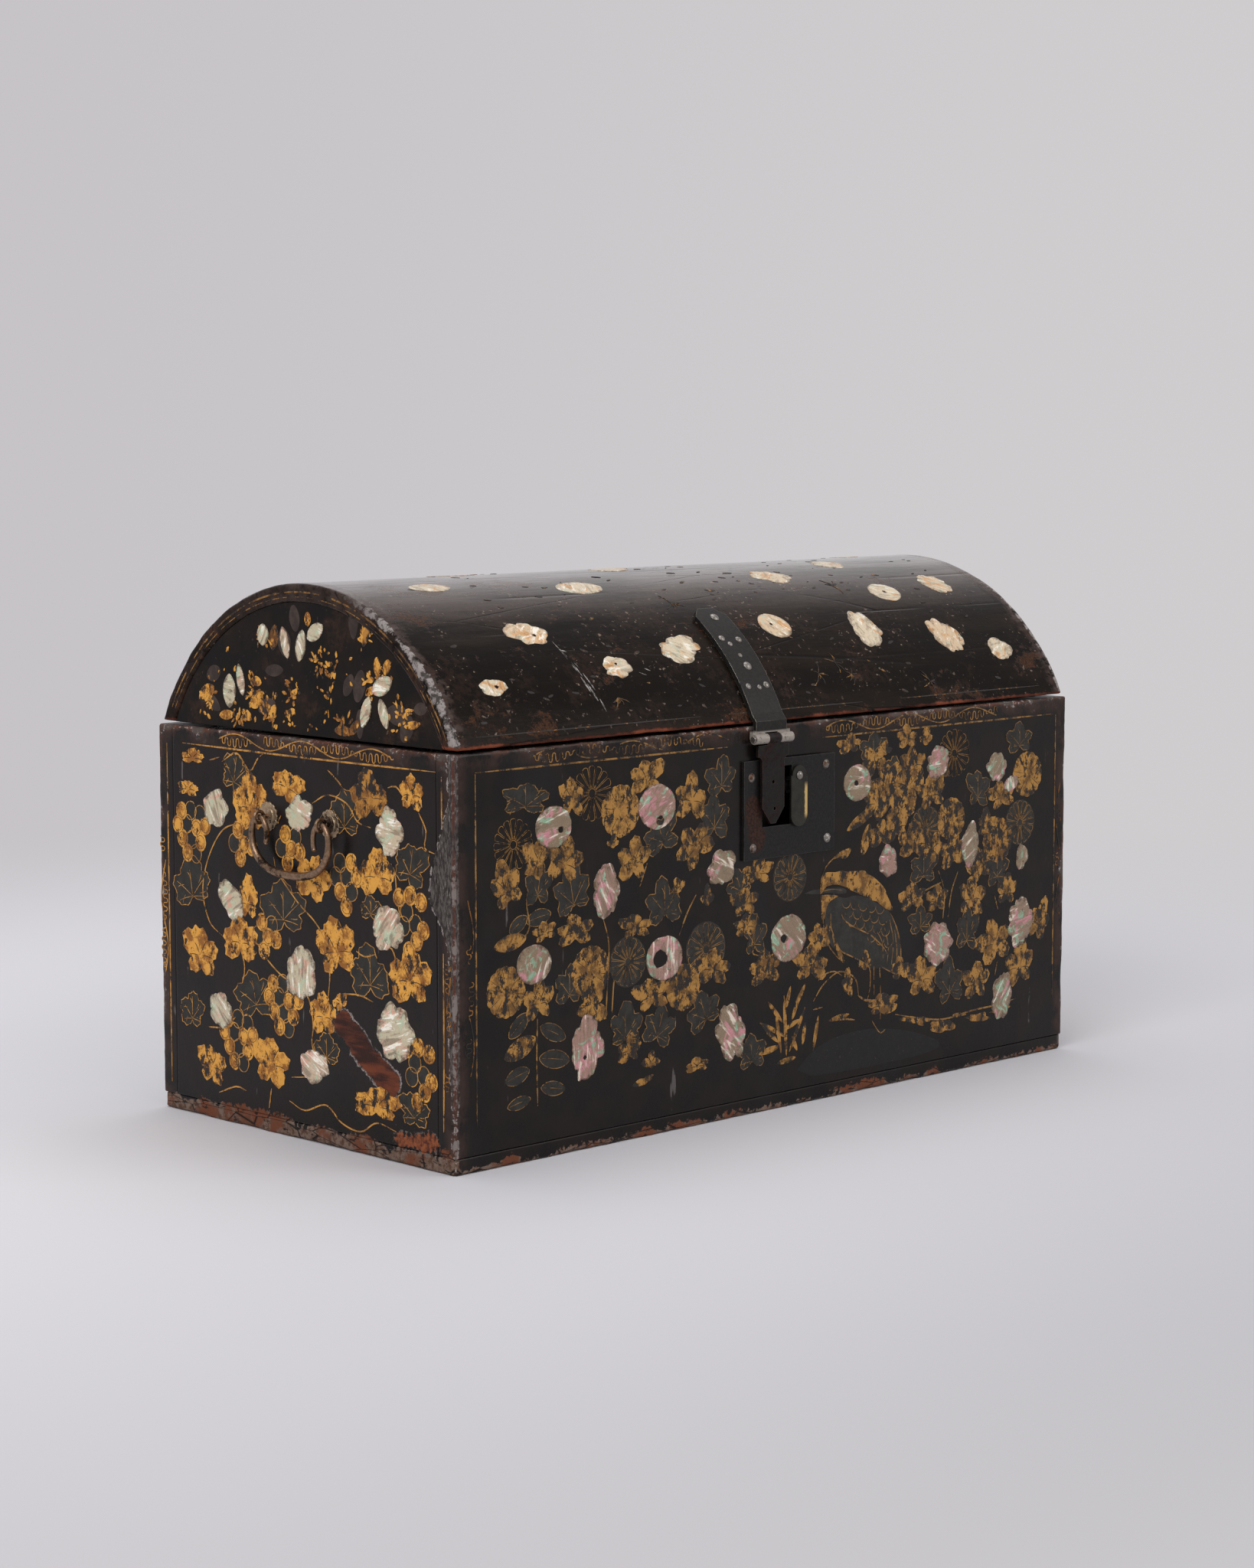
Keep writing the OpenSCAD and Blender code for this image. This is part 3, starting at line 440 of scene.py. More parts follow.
class Finish(Nodes):
    def __init__(self, name):
        self.material = bpy.data.materials.new(name)
        self.material.use_nodes = True
        super().__init__(self.material.node_tree)
        self.output = self.tree.nodes.new("ShaderNodeOutputMaterial")
        self.shader = self.tree.nodes.new("ShaderNodeBsdfPrincipled")
        self.tree.links.new(self.shader.outputs[0], self.output.inputs[0])
        self.place = self.make("TexCoord", {}, "Object")
        self.x, self.y, self.z = (self.make("SeparateXYZ", {0: self.place}, axis) for axis in range(3))
        self.color = self.normal = None

    def cover(self, share, tone):
        # another coat that covers a share of the color
        self.color = self.mix(share, self.color, tone)

    def noise(self, scale, detail=4.0, roughness=0.55, stretch=(1, 1, 1), offset=(0, 0, 0), distortion=0.0):
        place = self.make("Mapping", {"Vector": self.place, "Scale": stretch, "Location": offset})
        look = {"Scale": scale, "Detail": detail, "Roughness": roughness, "Distortion": distortion}
        return self.make("TexNoise", {"Vector": place, **look})

    def cracks(self, scale, stretch=(1, 1, 1), width=0.04):
        # thin lines between the cells of a pattern
        place = self.make("Mapping", {"Vector": self.place, "Scale": stretch})
        cells = self.make("TexVoronoi", {"Vector": place, "Scale": scale}, "Distance",
                          feature="DISTANCE_TO_EDGE")
        return cells.fade(width, 0.0)

    def read(self, attribute):
        return self.make("Attribute", {}, "Fac", attribute_name=attribute)

    def rounded(self, radius, low=0.02, high=0.25):
        # shades edges as if rounded within a radius, and tells how far that turns the normal,
        # so it is bright on sharp edges
        self.normal = self.make("Bevel", {"Radius": radius}, samples=4)
        flat = self.make("NewGeometry", {}, "Normal")
        dot = self.make("VectorMath", {0: self.normal, 1: flat}, "Value", operation="DOT_PRODUCT")
        return (1.0 - dot).fade(low, high)

    def bump(self, height, distance, strength=1.0):
        feeds = {"Strength": strength, "Distance": distance, "Height": height}
        if self.normal is not None:
            feeds["Normal"] = self.normal
        bumped = self.make("Bump", feeds)
        for key in ("Normal", "Coat Normal"):
            self.feed(self.shader.inputs[key], bumped)

    def surface(self, **values):
        names = {"color": "Base Color", "roughness": "Roughness", "metallic": "Metallic",
                 "coat": "Coat Weight", "specular": "Specular IOR Level", "tint": "Specular Tint"}
        for key, value in {"color": self.color, **values}.items():
            self.feed(self.shader.inputs[names[key]], value)
        return self.material


def distanceToLine(fin, u, v, start, end):
    # distance in the plane of u and v from the segment between two points, all in metres
    dx, dy = end[0] - start[0], end[1] - start[1]
    pu, pv = u - start[0], v - start[1]
    along = (pu * dx + pv * dy) / (dx * dx + dy * dy)
    along = fin.least(fin.most(along, 0.0), 1.0)
    ru = pu - along * dx
    rv = pv - along * dy
    return fin.math("SQRT", ru * ru + rv * rv)


lacquerTones = {
    "black": (0.0050, 0.0043, 0.0042),
    "brown": (0.0100, 0.0064, 0.0052),
    "plum": (0.0098, 0.0060, 0.0062),
    "darkCloth": (0.026, 0.023, 0.022),
    "cloth": (0.115, 0.103, 0.097),
    "pale": (0.34, 0.29, 0.27),
    "redWood": (0.085, 0.024, 0.014),
    "orange": (0.27, 0.080, 0.030),
    "dullWood": (0.040, 0.022, 0.016),
}


def carcaseLacquer(name):
    # black lacquer that is worn through to grey cloth, brown ground and wood at the edges of the carcase
    t = lacquerTones
    fin = Finish(name)
    dx = halfWidth * toMetres - abs(fin.x)
    dy = halfDepth * toMetres - abs(fin.y)
    dTop = bodyTop * toMetres - fin.z
    coarse, fine, grain = fin.noise(55, 6), fin.noise(320, 5, 0.65), fin.noise(1100, 3, 0.6)
    weave = fin.noise(620, 4, 0.7, stretch=(1.6, 1.6, 0.45))
    patch = fin.noise(26, 3, 0.5, offset=(7, 3, 2)).fade(0.44, 0.6)
    corner = fin.most(dx, dy)
    edge = fin.least(corner, fin.most(dTop, fin.least(dx, dy)))
    ragged = (coarse - 0.5) * 0.012 + (fine - 0.5) * 0.007
    bare = edge - ragged - patch * 0.0019
    leftSide = fin.x.fade(-halfWidth * toMetres + 0.0035, -halfWidth * toMetres + 0.0015)
    mottled = fin.mix(coarse.fade(0.38, 0.66), t["black"], t["brown"])
    fin.color = fin.mix(leftSide * coarse.fade(0.34, 0.58), mottled, t["plum"])
    fin.cover(fin.noise(23, 3, 0.5, offset=(3, 1, 7)).fade(0.54, 0.7), (0.008, 0.0076, 0.0076))
    border = (edge + ragged * 0.5).fade(0.0105, 0.0045)
    fin.cover(border * (coarse + weave * 0.3).fade(0.5, 0.74), (0.036, 0.0195, 0.0145))
    upper = dTop.fade(0.009, 0.003) * (coarse + fine * 0.4).fade(0.76, 0.86)
    fin.cover(upper, fin.mix(fine.fade(0.45, 0.6), t["dullWood"], t["cloth"]))
    scratch = fin.noise(210, 2, 0.5, stretch=(1.3, 1.3, 0.16)).fade(0.7, 0.75) * coarse.fade(0.54, 0.6)
    fin.cover(scratch * 0.8, t["cloth"])
    fin.cover(bare.fade(0.0024, 0.0008),
              fin.mix(fine.fade(0.44, 0.6), (0.06, 0.026, 0.017), t["darkCloth"]))
    ground = fin.mix(coarse.fade(0.46, 0.58), (0.105, 0.038, 0.023), (0.085, 0.066, 0.057))
    worn = bare.fade(0.0003, -0.0003)
    fin.cover(worn, fin.mix((fine + grain * 0.5).fade(0.8, 0.92), ground, t["pale"]))
    # the foot: ochre and cracked over the whole bottom board on the ends,
    # a thin red-brown line along the front
    line = fin.least(dx, 0.01).fade(0.0035, 0.0015, 0.0022, 0.0084)
    foot = (fin.z - ragged * 1.5 - line).fade(0.0004, -0.0004)
    footTone = fin.mix(fine.fade(0.38, 0.6), (0.085, 0.04, 0.024), (0.19, 0.13, 0.1))
    footTone = fin.mix(coarse.fade(0.5, 0.6), footTone, (0.15, 0.05, 0.024))
    footTone = fin.mix(fin.noise(120, 5, 0.7, stretch=(1, 1, 3)).fade(0.56, 0.62), footTone,
                       (0.018, 0.012, 0.01))
    footTone = fin.mix(fin.cracks(70, (0.5, 0.5, 2), 0.03), footTone, t["black"])
    fin.cover(foot, footTone)
    # on the left end: a red bare streak, an orange patch, and a wedge of grey cloth at the front corner
    u = fin.y * -1.0
    streak = distanceToLine(fin, u, fin.z, (0.031, 0.0605), (0.066, 0.0375)) - ragged * 0.9
    streakIn = leftSide * streak.fade(0.0066, 0.006)
    rim = leftSide * (streak.fade(0.0078, 0.007) * fine.fade(0.4, 0.52))
    fin.cover(rim * coarse.fade(0.4, 0.55), fin.mix(grain.fade(0.4, 0.6), t["cloth"], t["pale"]))
    red = fin.mix(fin.noise(90, 5, 0.6, stretch=(1, 0.4, 2)).fade(0.38, 0.66), (0.034, 0.013, 0.01),
                  (0.165, 0.043, 0.019))
    fin.cover(streakIn, red)
    warm = distanceToLine(fin, u, fin.z, (0.072, 0.0118), (0.094, 0.013)) - ragged * 1.1
    warmIn = leftSide * warm.fade(0.0042, 0.0034)
    fin.cover(leftSide * (warm.fade(0.0052, 0.0044) * fine.fade(0.5, 0.6)), t["cloth"])
    fin.cover(warmIn, fin.mix(fine.fade(0.4, 0.6), t["redWood"], t["orange"]))
    reach = fin.z.fade(0.104, 0.131) * fin.z.fade(0.178, 0.134) * 0.0132
    reach = reach + fin.z.fade(0.006, 0.07, 0.0004, 0.003)
    wedge = corner - ragged * 0.7 - reach
    atCorner = leftSide * fin.y.fade(0.0, -0.01)
    fin.cover(atCorner * wedge.fade(0.0009, 0.0003), fin.mix(fine.fade(0.48, 0.56), fin.color, t["pale"]))
    cloth = fin.mix(weave.fade(0.42, 0.6), (0.028, 0.023, 0.021), (0.105, 0.09, 0.082))
    cloth = fin.mix(weave.fade(0.6, 0.68) * coarse.fade(0.42, 0.56), cloth, t["pale"])
    redLine = (corner - ragged * 0.3).fade(0.0016, 0.0006)
    cloth = fin.mix(redLine, cloth, fin.mix((fine + coarse).fade(1.02, 1.14), (0.085, 0.03, 0.021),
                                            (0.2, 0.165, 0.15)))
    wedgeIn = atCorner * wedge.fade(0.0003, -0.0003)
    fin.cover(wedgeIn, cloth)
    bareAll = fin.most(worn, foot, streakIn, warmIn, wedgeIn)
    rough = bareAll * 0.4 + coarse.fade(0.3, 0.7, 0.24, 0.36)
    height = coarse * 0.5 + fine * 0.25
    height = height - bareAll * (weave * 1.2 + 0.5)
    fin.bump(height, 0.0006, 0.5)
    return fin.surface(roughness=rough, tint=(1.0, 0.92, 0.88), specular=0.22)


def lidLacquer(name):
    # glossy black lacquer with brown mottling, lengthwise ripples, fine cracks
    # and a pale, frayed edge at each end
    t = lacquerTones
    fin = Finish(name)
    dx = lidHalfWidth * toMetres - abs(fin.x)
    up = fin.z - barrelMid * toMetres
    fromMiddle = fin.math("SQRT", fin.y * fin.y + up * up)
    inward = barrelRadius * toMetres - fromMiddle
    rise = fin.z - rimHeight * toMetres
    coarse, fine, grain = fin.noise(38, 6, 0.6), fin.noise(300, 5, 0.65), fin.noise(1000, 3, 0.6)
    streak = fin.noise(30, 6, 0.62, stretch=(0.35, 1.6, 1.6))
    ripple = fin.noise(75, 4, 0.6, stretch=(0.22, 1.5, 1.5), offset=(1, 6, 2))
    fin.color = fin.mix(streak.fade(0.42, 0.68), (0.0044, 0.0032, 0.0025), (0.0125, 0.0075, 0.0048))
    fin.cover(coarse.fade(0.5, 0.6) * fine.fade(0.4, 0.58), (0.017, 0.0095, 0.0065))
    patchy = fin.noise(46, 6, 0.68, stretch=(0.5, 1, 1), offset=(5, 2, 1)) + (fine - 0.5) * 0.3
    patchy = patchy + rise.fade(0.045, 0.01) * 0.035
    # painted sheen: a lighter brown laid over the top of the barrel, by height, where it reflects the light
    paintedTopSheen = fin.z.fade(0.24, 0.269) * (streak + fine * 0.3).fade(0.46, 0.8)
    fin.cover(paintedTopSheen, (0.055, 0.037, 0.03))
    rust = patchy.fade(0.598, 0.665) * 0.75
    fin.cover(rust, fin.mix(grain.fade(0.4, 0.6), (0.022, 0.0115, 0.0072), (0.082, 0.031, 0.013)))
    specks = fin.noise(400, 2, 0.5).fade(0.66, 0.7) * coarse.fade(0.44, 0.58)
    fin.cover(specks, (0.17, 0.125, 0.095))
    ragged = (coarse - 0.5) * 0.011 + (fine - 0.5) * 0.007
    edge = fin.most(dx, inward) - ragged
    low = (fin.z + fin.y * 0.25).fade(0.262, 0.238) * fin.y.fade(0.0, -0.02)
    outside = dx.fade(0.0006, 0.0016)
    halo = (dx - ragged * 1.4).fade(0.01, 0.0035) * fine.fade(0.36, 0.5)
    halo = halo * (outside * 0.8 + 0.2)
    fin.cover(halo, fin.mix(ripple.fade(0.42, 0.6), (0.036, 0.019, 0.014), (0.075, 0.053, 0.046)))
    fin.cover((1.0 - outside) * coarse.fade(0.54, 0.62), (0.045, 0.021, 0.013))
    frayed = fin.mix(fine.fade(0.42, 0.58), (0.06, 0.05, 0.046), (0.3, 0.265, 0.25))
    frayed = fin.mix(low, fin.mix(grain.fade(0.5, 0.64), t["dullWood"], t["cloth"]), frayed)
    frayed = fin.mix(grain.fade(0.6, 0.66), frayed, t["darkCloth"])
    worn = (edge - low * 0.0024).fade(0.0006, -0.0002)
    fin.cover(worn, frayed)
    rim = (rise - ragged * 0.35).fade(0.002, 0.0009)
    fin.cover(rim, fin.mix(coarse.fade(0.5, 0.6), t["redWood"], (0.19, 0.052, 0.026)))
    lines = fin.cracks(26, (0.18, 1, 1), 0.012) * streak.fade(0.45, 0.6)
    fin.cover(lines, (0.004, 0.0035, 0.0035))
    bareAll = fin.most(worn, rim * 0.7, rust * 0.5, halo * 0.4)
    facing = fin.make("LayerWeight", {}, "Facing")
    polish = streak.fade(0.3, 0.7, 0.2, 0.32) - facing.fade(0.5, 0.85, 0.0, 0.08)
    rough = bareAll * 0.34 + polish
    height = ripple * 0.9 + fine * 0.16
    height = height - (lines * 0.5 + rust * 0.25)
    height = height - bareAll * (grain * 0.9 + 0.4)
    fin.bump(height, 0.0009, 0.5)
    return fin.surface(roughness=rough, tint=(1.0, 0.84, 0.74), specular=facing.fade(0.54, 0.82, 0.08, 1.0),
                       coat=facing.fade(0.62, 0.86, 0.0, 1.0) * streak.fade(0.36, 0.62, 0.5, 1.0))


def plainLacquer(name):
    # the flat inner lacquer and the ground of the lid ends
    fin = Finish(name)
    coarse, fine = fin.noise(45, 5), fin.noise(400, 4, 0.6)
    fin.color = fin.mix(coarse.fade(0.4, 0.65), (0.0048, 0.0043, 0.004), (0.012, 0.0078, 0.0058))
    stains = fin.noise(34, 5, 0.62, offset=(2, 7, 4)).fade(0.5, 0.64) * fine.fade(0.36, 0.56)
    fin.cover(stains, (0.03, 0.015, 0.009))
    fin.cover(fine.fade(0.66, 0.72), (0.05, 0.033, 0.024))
    fin.bump(coarse + fine * 0.2, 0.0004, 0.5)
    return fin.surface(roughness=coarse.fade(0.3, 0.7, 0.28, 0.42), tint=(1.0, 0.88, 0.8), specular=0.13)


def goldLacquer(name, bright, dark, wear):
    # powdered gold in lacquer: mottled and rubbed, amber where the tone is high, with black in its
    # thinnest places and pits
    fin = Finish(name)
    tone, edge = fin.read("tone"), fin.read("edge")
    cloud, fine = fin.noise(150, 5, 0.62), fin.noise(750, 4, 0.65)
    rubbed = fin.noise(230, 6, 0.72, stretch=(1, 1, 0.7), offset=(2, 5, 1))
    fin.color = fin.mix((cloud + fine * 0.35).fade(0.57, 0.74), dark, bright)
    amber = fin.mix(cloud.fade(0.35, 0.65), (0.13, 0.05, 0.014), (0.36, 0.15, 0.03))
    fin.cover(tone.fade(0.62, 0.85), amber)
    thin = rubbed + (tone * 0.12 + edge * 0.03)
    fin.cover(thin.fade(wear - 0.05, wear), tuple(c * 0.45 for c in dark))
    gone = fin.most(thin.fade(wear, wear + 0.02), fin.noise(420, 3, 0.6, offset=(9, 9, 2)).fade(0.66, 0.69))
    fin.cover(gone, (0.014, 0.01, 0.008))
    fin.bump(fine * 0.5 + cloud * 0.3 - gone * 0.6, 0.00018, 0.7)
    return fin.surface(roughness=fine.fade(0.3, 0.7, 0.42, 0.58), metallic=gone.fade(0.0, 1.0, 0.35, 0.0),
                       specular=0.35)


def sootLacquer(name, low=(0.0150, 0.0138, 0.0115), high=(0.0330, 0.0300, 0.0250)):
    # tarnished silver, a little lighter and duller than the ground
    fin = Finish(name)
    cloud, fine = fin.noise(160, 5, 0.6), fin.noise(800, 3, 0.6)
    fin.color = fin.mix(cloud.fade(0.35, 0.68), low, high)
    fin.cover(fin.read("tone").fade(0.3, 0.12), (0.0095, 0.0085, 0.008))
    fin.cover(fine.fade(0.64, 0.74), (0.05, 0.038, 0.026))
    fin.bump(fine, 0.00012, 0.6)
    return fin.surface(roughness=cloud.fade(0.3, 0.7, 0.42, 0.55), specular=0.26)


def shellFinish(name, axis, ground, pink, green, glint, shine, stained=1.0):
    # nacre: clouds of the tones and bright grown lines, turned differently on each piece,
    # stained brown at the rim; the pale glint tone on the grown lines is partly a painted highlight
    fin = Finish(name)
    tone, edge = fin.read("tone"), fin.read("edge")
    spin = {"Vector": fin.place, "Angle": tone * 31.0}
    fin.place = fin.make("VectorRotate", spin, rotation_type=f"{axis}_AXIS")
    grow = {"X": (1, 0.3, 1.5), "Y": (0.3, 1, 1.5), "Z": (0.3, 1.5, 1)}[axis]
    cloud = fin.noise(105, 3, 0.5, distortion=1.0)
    second = fin.noise(150, 3, 0.5, offset=(4, 2, 9), distortion=1.2)
    lines = fin.noise(230, 4, 0.6, stretch=grow, distortion=0.7)
    fine = fin.noise(900, 3, 0.6)
    ground = fin.mix(tone.fade(0.5, 0.8) * 0.3, ground, pink)
    fin.color = fin.mix(cloud.fade(0.52, 0.64), ground, pink)
    fin.cover(second.fade(0.55, 0.64), green)
    # the grown lines in the glint tone: the nacre's own bright lines, partly a painted highlight
    fin.cover(lines.fade(0.54, 0.64) * cloud.fade(0.36, 0.5), glint)
    fin.cover(lines.fade(0.48, 0.36) * (0.8 * stained), (0.2, 0.14, 0.085))
    stain = (edge * 0.6 + fin.noise(300, 5, 0.7) * 0.9).fade(0.92, 1.1)
    spots = fin.noise(150, 5, 0.7, offset=(8, 8, 8)).fade(0.62, 0.68)
    fin.cover(fin.most(stain, spots * 0.8) * stained, (0.105, 0.06, 0.03))
    fin.bump(lines * 0.8 + fine * 0.25, 0.00035, 0.7)
    return fin.surface(roughness=fine.fade(0.3, 0.7, 0.2, 0.34), coat=shine, specular=0.5)


def ironFinish(name, base, rust, rustShare, edgeTone, roughness=0.5, metallic=0.5, specular=0.4,
               place=None, shine=None):
    # dark iron with rust in clouds and pits, and bright metal where the edges are rubbed
    fin = Finish(name)
    cloud, fine = fin.noise(110, 6, 0.62), fin.noise(650, 5, 0.65)
    fin.color = fin.mix(fine.fade(0.35, 0.7), base, tuple(c * 1.8 for c in base))
    rusty = (cloud + fine * 0.4).fade(0.86 - rustShare, 0.96 - rustShare)
    if place is not None:
        rusty = fin.most(rusty, place(fin))
    fin.cover(rusty, fin.mix(fine.fade(0.4, 0.62), rust, tuple(c * 0.4 for c in rust)))
    rubbed = fin.rounded(0.0005) * cloud.fade(0.34, 0.52)
    if shine is not None:
        # a shine mask adds its band in the edge tone as well: a painted highlight
        rubbed = fin.most(rubbed, shine(fin) * fine.fade(0.3, 0.48, 0.3, 1.0))
    fin.cover(rubbed, edgeTone)
    rough = rusty.fade(0.0, 1.0, roughness, roughness + 0.25) + rubbed * -0.15
    fin.bump(fine * 0.6 + cloud * 0.6, 0.00025, 0.7)
    return fin.surface(roughness=rough, metallic=metallic, specular=specular)


def woodFinish(name):
    fin = Finish(name)
    grain = fin.noise(60, 6, 0.6, stretch=(0.2, 3, 3))
    fine = fin.noise(500, 4, 0.6)
    fin.color = fin.mix(grain.fade(0.35, 0.65), (0.1, 0.052, 0.028), (0.19, 0.105, 0.058))
    fin.bump(grain + fine * 0.3, 0.0004, 0.6)
    return fin.surface(roughness=fine.fade(0.3, 0.7, 0.6, 0.75), specular=0.3)


def scuffFinish(name):
    # pale scratches with the dark ground between their fibres
    fin = Finish(name)
    fine, grain = fin.noise(300, 5, 0.7), fin.noise(1200, 3, 0.6)
    fin.color = fin.mix(fine.fade(0.42, 0.56), (0.04, 0.034, 0.031), (0.33, 0.3, 0.28))
    fin.cover(grain.fade(0.56, 0.62), (0.02, 0.017, 0.016))
    fin.bump(fine + grain * 0.5, 0.0002, 0.7)
    return fin.surface(roughness=grain.fade(0.3, 0.7, 0.55, 0.7), specular=0.3)


def coverFinish(name):
    # greenish blackened brass, with a band of bright brass down its right edge: worn bare brass and a
    # painted glint
    fin = Finish(name)
    cloud, fine = fin.noise(140, 5, 0.6), fin.noise(700, 4, 0.6)
    fin.color = fin.mix(cloud.fade(0.35, 0.65), (0.012, 0.011, 0.0075), (0.026, 0.0235, 0.0165))
    # the bright brass band: partly worn brass, partly a painted glint
    right = (fin.x + fine * 0.0014).fade(0.0098, 0.0106)
    brassEdgeAndGlint = right * (fin.z.fade(0.147, 0.151) * fin.z.fade(0.167, 0.163))
    fin.cover(brassEdgeAndGlint, (0.62, 0.42, 0.16))
    fin.rounded(0.0004)
    fin.bump(fine, 0.0003, 0.6)
    return fin.surface(roughness=brassEdgeAndGlint.fade(0, 1, 0.42, 0.3), metallic=0.5, specular=0.5)


def knuckleWearAndHighlight(fin):
    # pale metal on a band across the knuckles at the lower end of the hasp strap: worn bare metal and a
    # painted highlight
    return fin.z.fade(0.1945, 0.1935) * fin.z.fade(0.1865, 0.188)


def rustByTheLeaf(fin):
    # the brown patch on the lock plate left of the hanging leaf
    d = distanceToLine(fin, fin.x, fin.z, (-0.0275, 0.156), (-0.0235, 0.139))
    return (d - fin.noise(210, 5, 0.65) * 0.008).fade(0.0024, 0.0004)


bodyLacquerMat = carcaseLacquer("worn_black_lacquer")
lidLacquerMat = lidLacquer("lid_lacquer")
plainLacquerMat = plainLacquer("inner_lacquer")
frontGoldMat = goldLacquer("front_gold", (0.44, 0.222, 0.052), (0.165, 0.080, 0.022), 0.605)
endGoldMat = goldLacquer("end_gold", (0.80, 0.390, 0.066), (0.32, 0.120, 0.020), 0.645)
thinGoldMat = goldLacquer("thin_gold_lines", (0.33, 0.170, 0.048), (0.15, 0.076, 0.025), 0.62)
endLineMat = goldLacquer("end_gold_lines", (0.62, 0.300, 0.065), (0.30, 0.140, 0.035), 0.66)
faintGoldMat = goldLacquer("rubbed_gold", (0.30, 0.145, 0.035), (0.11, 0.055, 0.018), 0.56)
sootMat = sootLacquer("tarnished_silver")
petalMat = sootLacquer("brown_petals", (0.026, 0.0165, 0.0125), (0.062, 0.040, 0.031))
frontShellMat = shellFinish("front_shell", "Y", (0.245, 0.168, 0.098), (0.56, 0.23, 0.25),
                            (0.25, 0.40, 0.26), (0.76, 0.66, 0.54), 0.2)
endShellMat = shellFinish("end_shell", "X", (0.56, 0.480, 0.320), (0.68, 0.37, 0.26), (0.48, 0.54, 0.36),
                          (0.98, 0.93, 0.80), 0.3, 0.9)
lidShellMat = shellFinish("lid_shell", "Z", (0.66, 0.54, 0.38), (0.62, 0.32, 0.12), (0.54, 0.52, 0.38),
                          (0.90, 0.83, 0.71), 0.15, 0.7)
woodMat = woodFinish("bare_wood")
clothMat = scuffFinish("scuffed_ground")
ironMat = ironFinish("black_iron", (0.016, 0.0145, 0.0135), (0.075, 0.03, 0.016), 0.10, (0.20, 0.18, 0.165))
strapMat = ironFinish("strap_iron", (0.0125, 0.0115, 0.0102), (0.035, 0.020, 0.013), 0.03,
                      (0.33, 0.29, 0.25), 0.34, 0.25, 0.22, shine=knuckleWearAndHighlight)
nailMat = ironFinish("worn_iron", (0.17, 0.155, 0.14), (0.15, 0.085, 0.055), 0.12,
                     (0.62, 0.58, 0.53), 0.30, 0.8)
leafMat = ironFinish("rusty_leaf", (0.0085, 0.0060, 0.0058), (0.026, 0.010, 0.008), 0.14,
                     (0.11, 0.07, 0.06), 0.42, 0.25, 0.20)
hingeMat = ironFinish("hinge_iron", (0.018, 0.0155, 0.014), (0.085, 0.034, 0.018), 0.16, (0.22, 0.19, 0.17))
copperMat = ironFinish("dark_copper", (0.19, 0.120, 0.075), (0.060, 0.038, 0.026), 0.14,
                       (0.55, 0.42, 0.30), 0.30, 0.9)
giltMat = ironFinish("gilt_copper", (0.30, 0.215, 0.135), (0.070, 0.043, 0.028), 0.16,
                     (0.62, 0.50, 0.34), 0.38, 0.75)
plateMat = ironFinish("plate_iron", (0.0095, 0.0086, 0.0080), (0.046, 0.020, 0.013), 0.03,
                      (0.12, 0.11, 0.105), 0.42, 0.25, 0.22, rustByTheLeaf)
coverMat = coverFinish("blackened_brass")

cadFinishes = [
    (woodMat, ["carcase_pegs", "lid_pegs"]),
    (plainLacquerMat, ["lid_left_end", "lid_right_end"]),
    (copperMat, ["left_bail_eyes", "right_bail_eyes"]),
    (giltMat, ["left_bail_rosettes", "right_bail_rosettes"]),
    (plateMat, ["lock_plate"]),
    (coverMat, ["keyhole_cover"]),
    (strapMat, ["hasp_strap"]),
    (leafMat, ["hasp_leaf"]),
    (ironMat, ["bolt_guides", "lock_spring"]),
    (hingeMat, ["left_hinge_lower", "left_hinge_upper", "right_hinge_lower", "right_hinge_upper"]),
    (nailMat, ["lock_plate_nails", "lock_plate_screw", "lock_bolt", "keyhole_rivet", "strap_nails",
               "hasp_pin", "left_hinge_pin", "right_hinge_pin", "lower_hinge_nails", "upper_hinge_nails"]),
]
for material, names in cadFinishes:
    for name in names:
        cadNodes[name].data.materials.clear()
        cadNodes[name].data.materials.append(material)
print("stage: finishes made")

# The five boards of the carcase: the outer edges are worn, the edges between boards are tight
boardWear = {
    "step": (2.2, 2.2, 2.2),
    "outer": 1.25,
    "tight": 0.0,
    "footCorner": 3.0,
    "lockRecess": (25, -13, 22, 9),
}
lockLow, lockHigh = boxMm("lock_plate")
lockMid = ((lockLow[0] + lockHigh[0]) / 2, (lockLow[2] + lockHigh[2]) / 2)


def sinkLockRecess(co, moved):
    # the pocket behind the lock plate, cut from the face to its depth
    half, low, high, depth = boardWear["lockRecess"]
    inside = (np.abs(co[:, 0] - lockMid[0]) < half) & (co[:, 2] > lockMid[1]
                                                       + low) & (co[:, 2] < lockMid[1] + high)
    out = moved.copy()
    out[inside & (co[:, 1] < -halfDepth + 0.01), 1] += depth
    return out


def makeBoards():
    w = boardWear
    o, t = w["outer"], w["tight"]
    # the end boards reach to the inner faces of the front and back, so that no two faces share a plane
    ends = {side: boxMm(f"{side}_end_board") for side in ("left", "right")}
    for low, high in ends.values():
        low[1], high[1] = frontHigh[1], boxMm("back_board")[0][1]
    boards = {
        "front": (frontLow, frontHigh, [(o, o, t), (o, t, o)], sinkLockRecess),
        "back": (*boxMm("back_board"), [(o, t, t), (o, o, o)], None),
        "left": (*ends["left"], [(o, t, t), (t, t, o)], None),
        "right": (*ends["right"], [(t, t, t), (o, t, o)], None),
    }
    nodeOf = {"front": "front_board", "back": "back_board", "left": "left_end_board",
              "right": "right_end_board"}
    for seed, (key, (low, high, inset, shift)) in enumerate(boards.items()):
        pile = blockPile(low, high, w["step"], inset, 11 + 5 * seed, shift=shift)
        makePiece(f"{key}_board_lacquered", pile, bodyLacquerMat, "carcase", (nodeOf[key],))
    c = w["footCorner"]
    pile = blockPile(bottomLow, bottomHigh, w["step"], [(c, c, 1.2), (c, c, 0.0)], 51, rough=0.7, chip=1.0)
    makePiece("bottom_board_worn", pile, bodyLacquerMat, "carcase", ("bottom_board",))


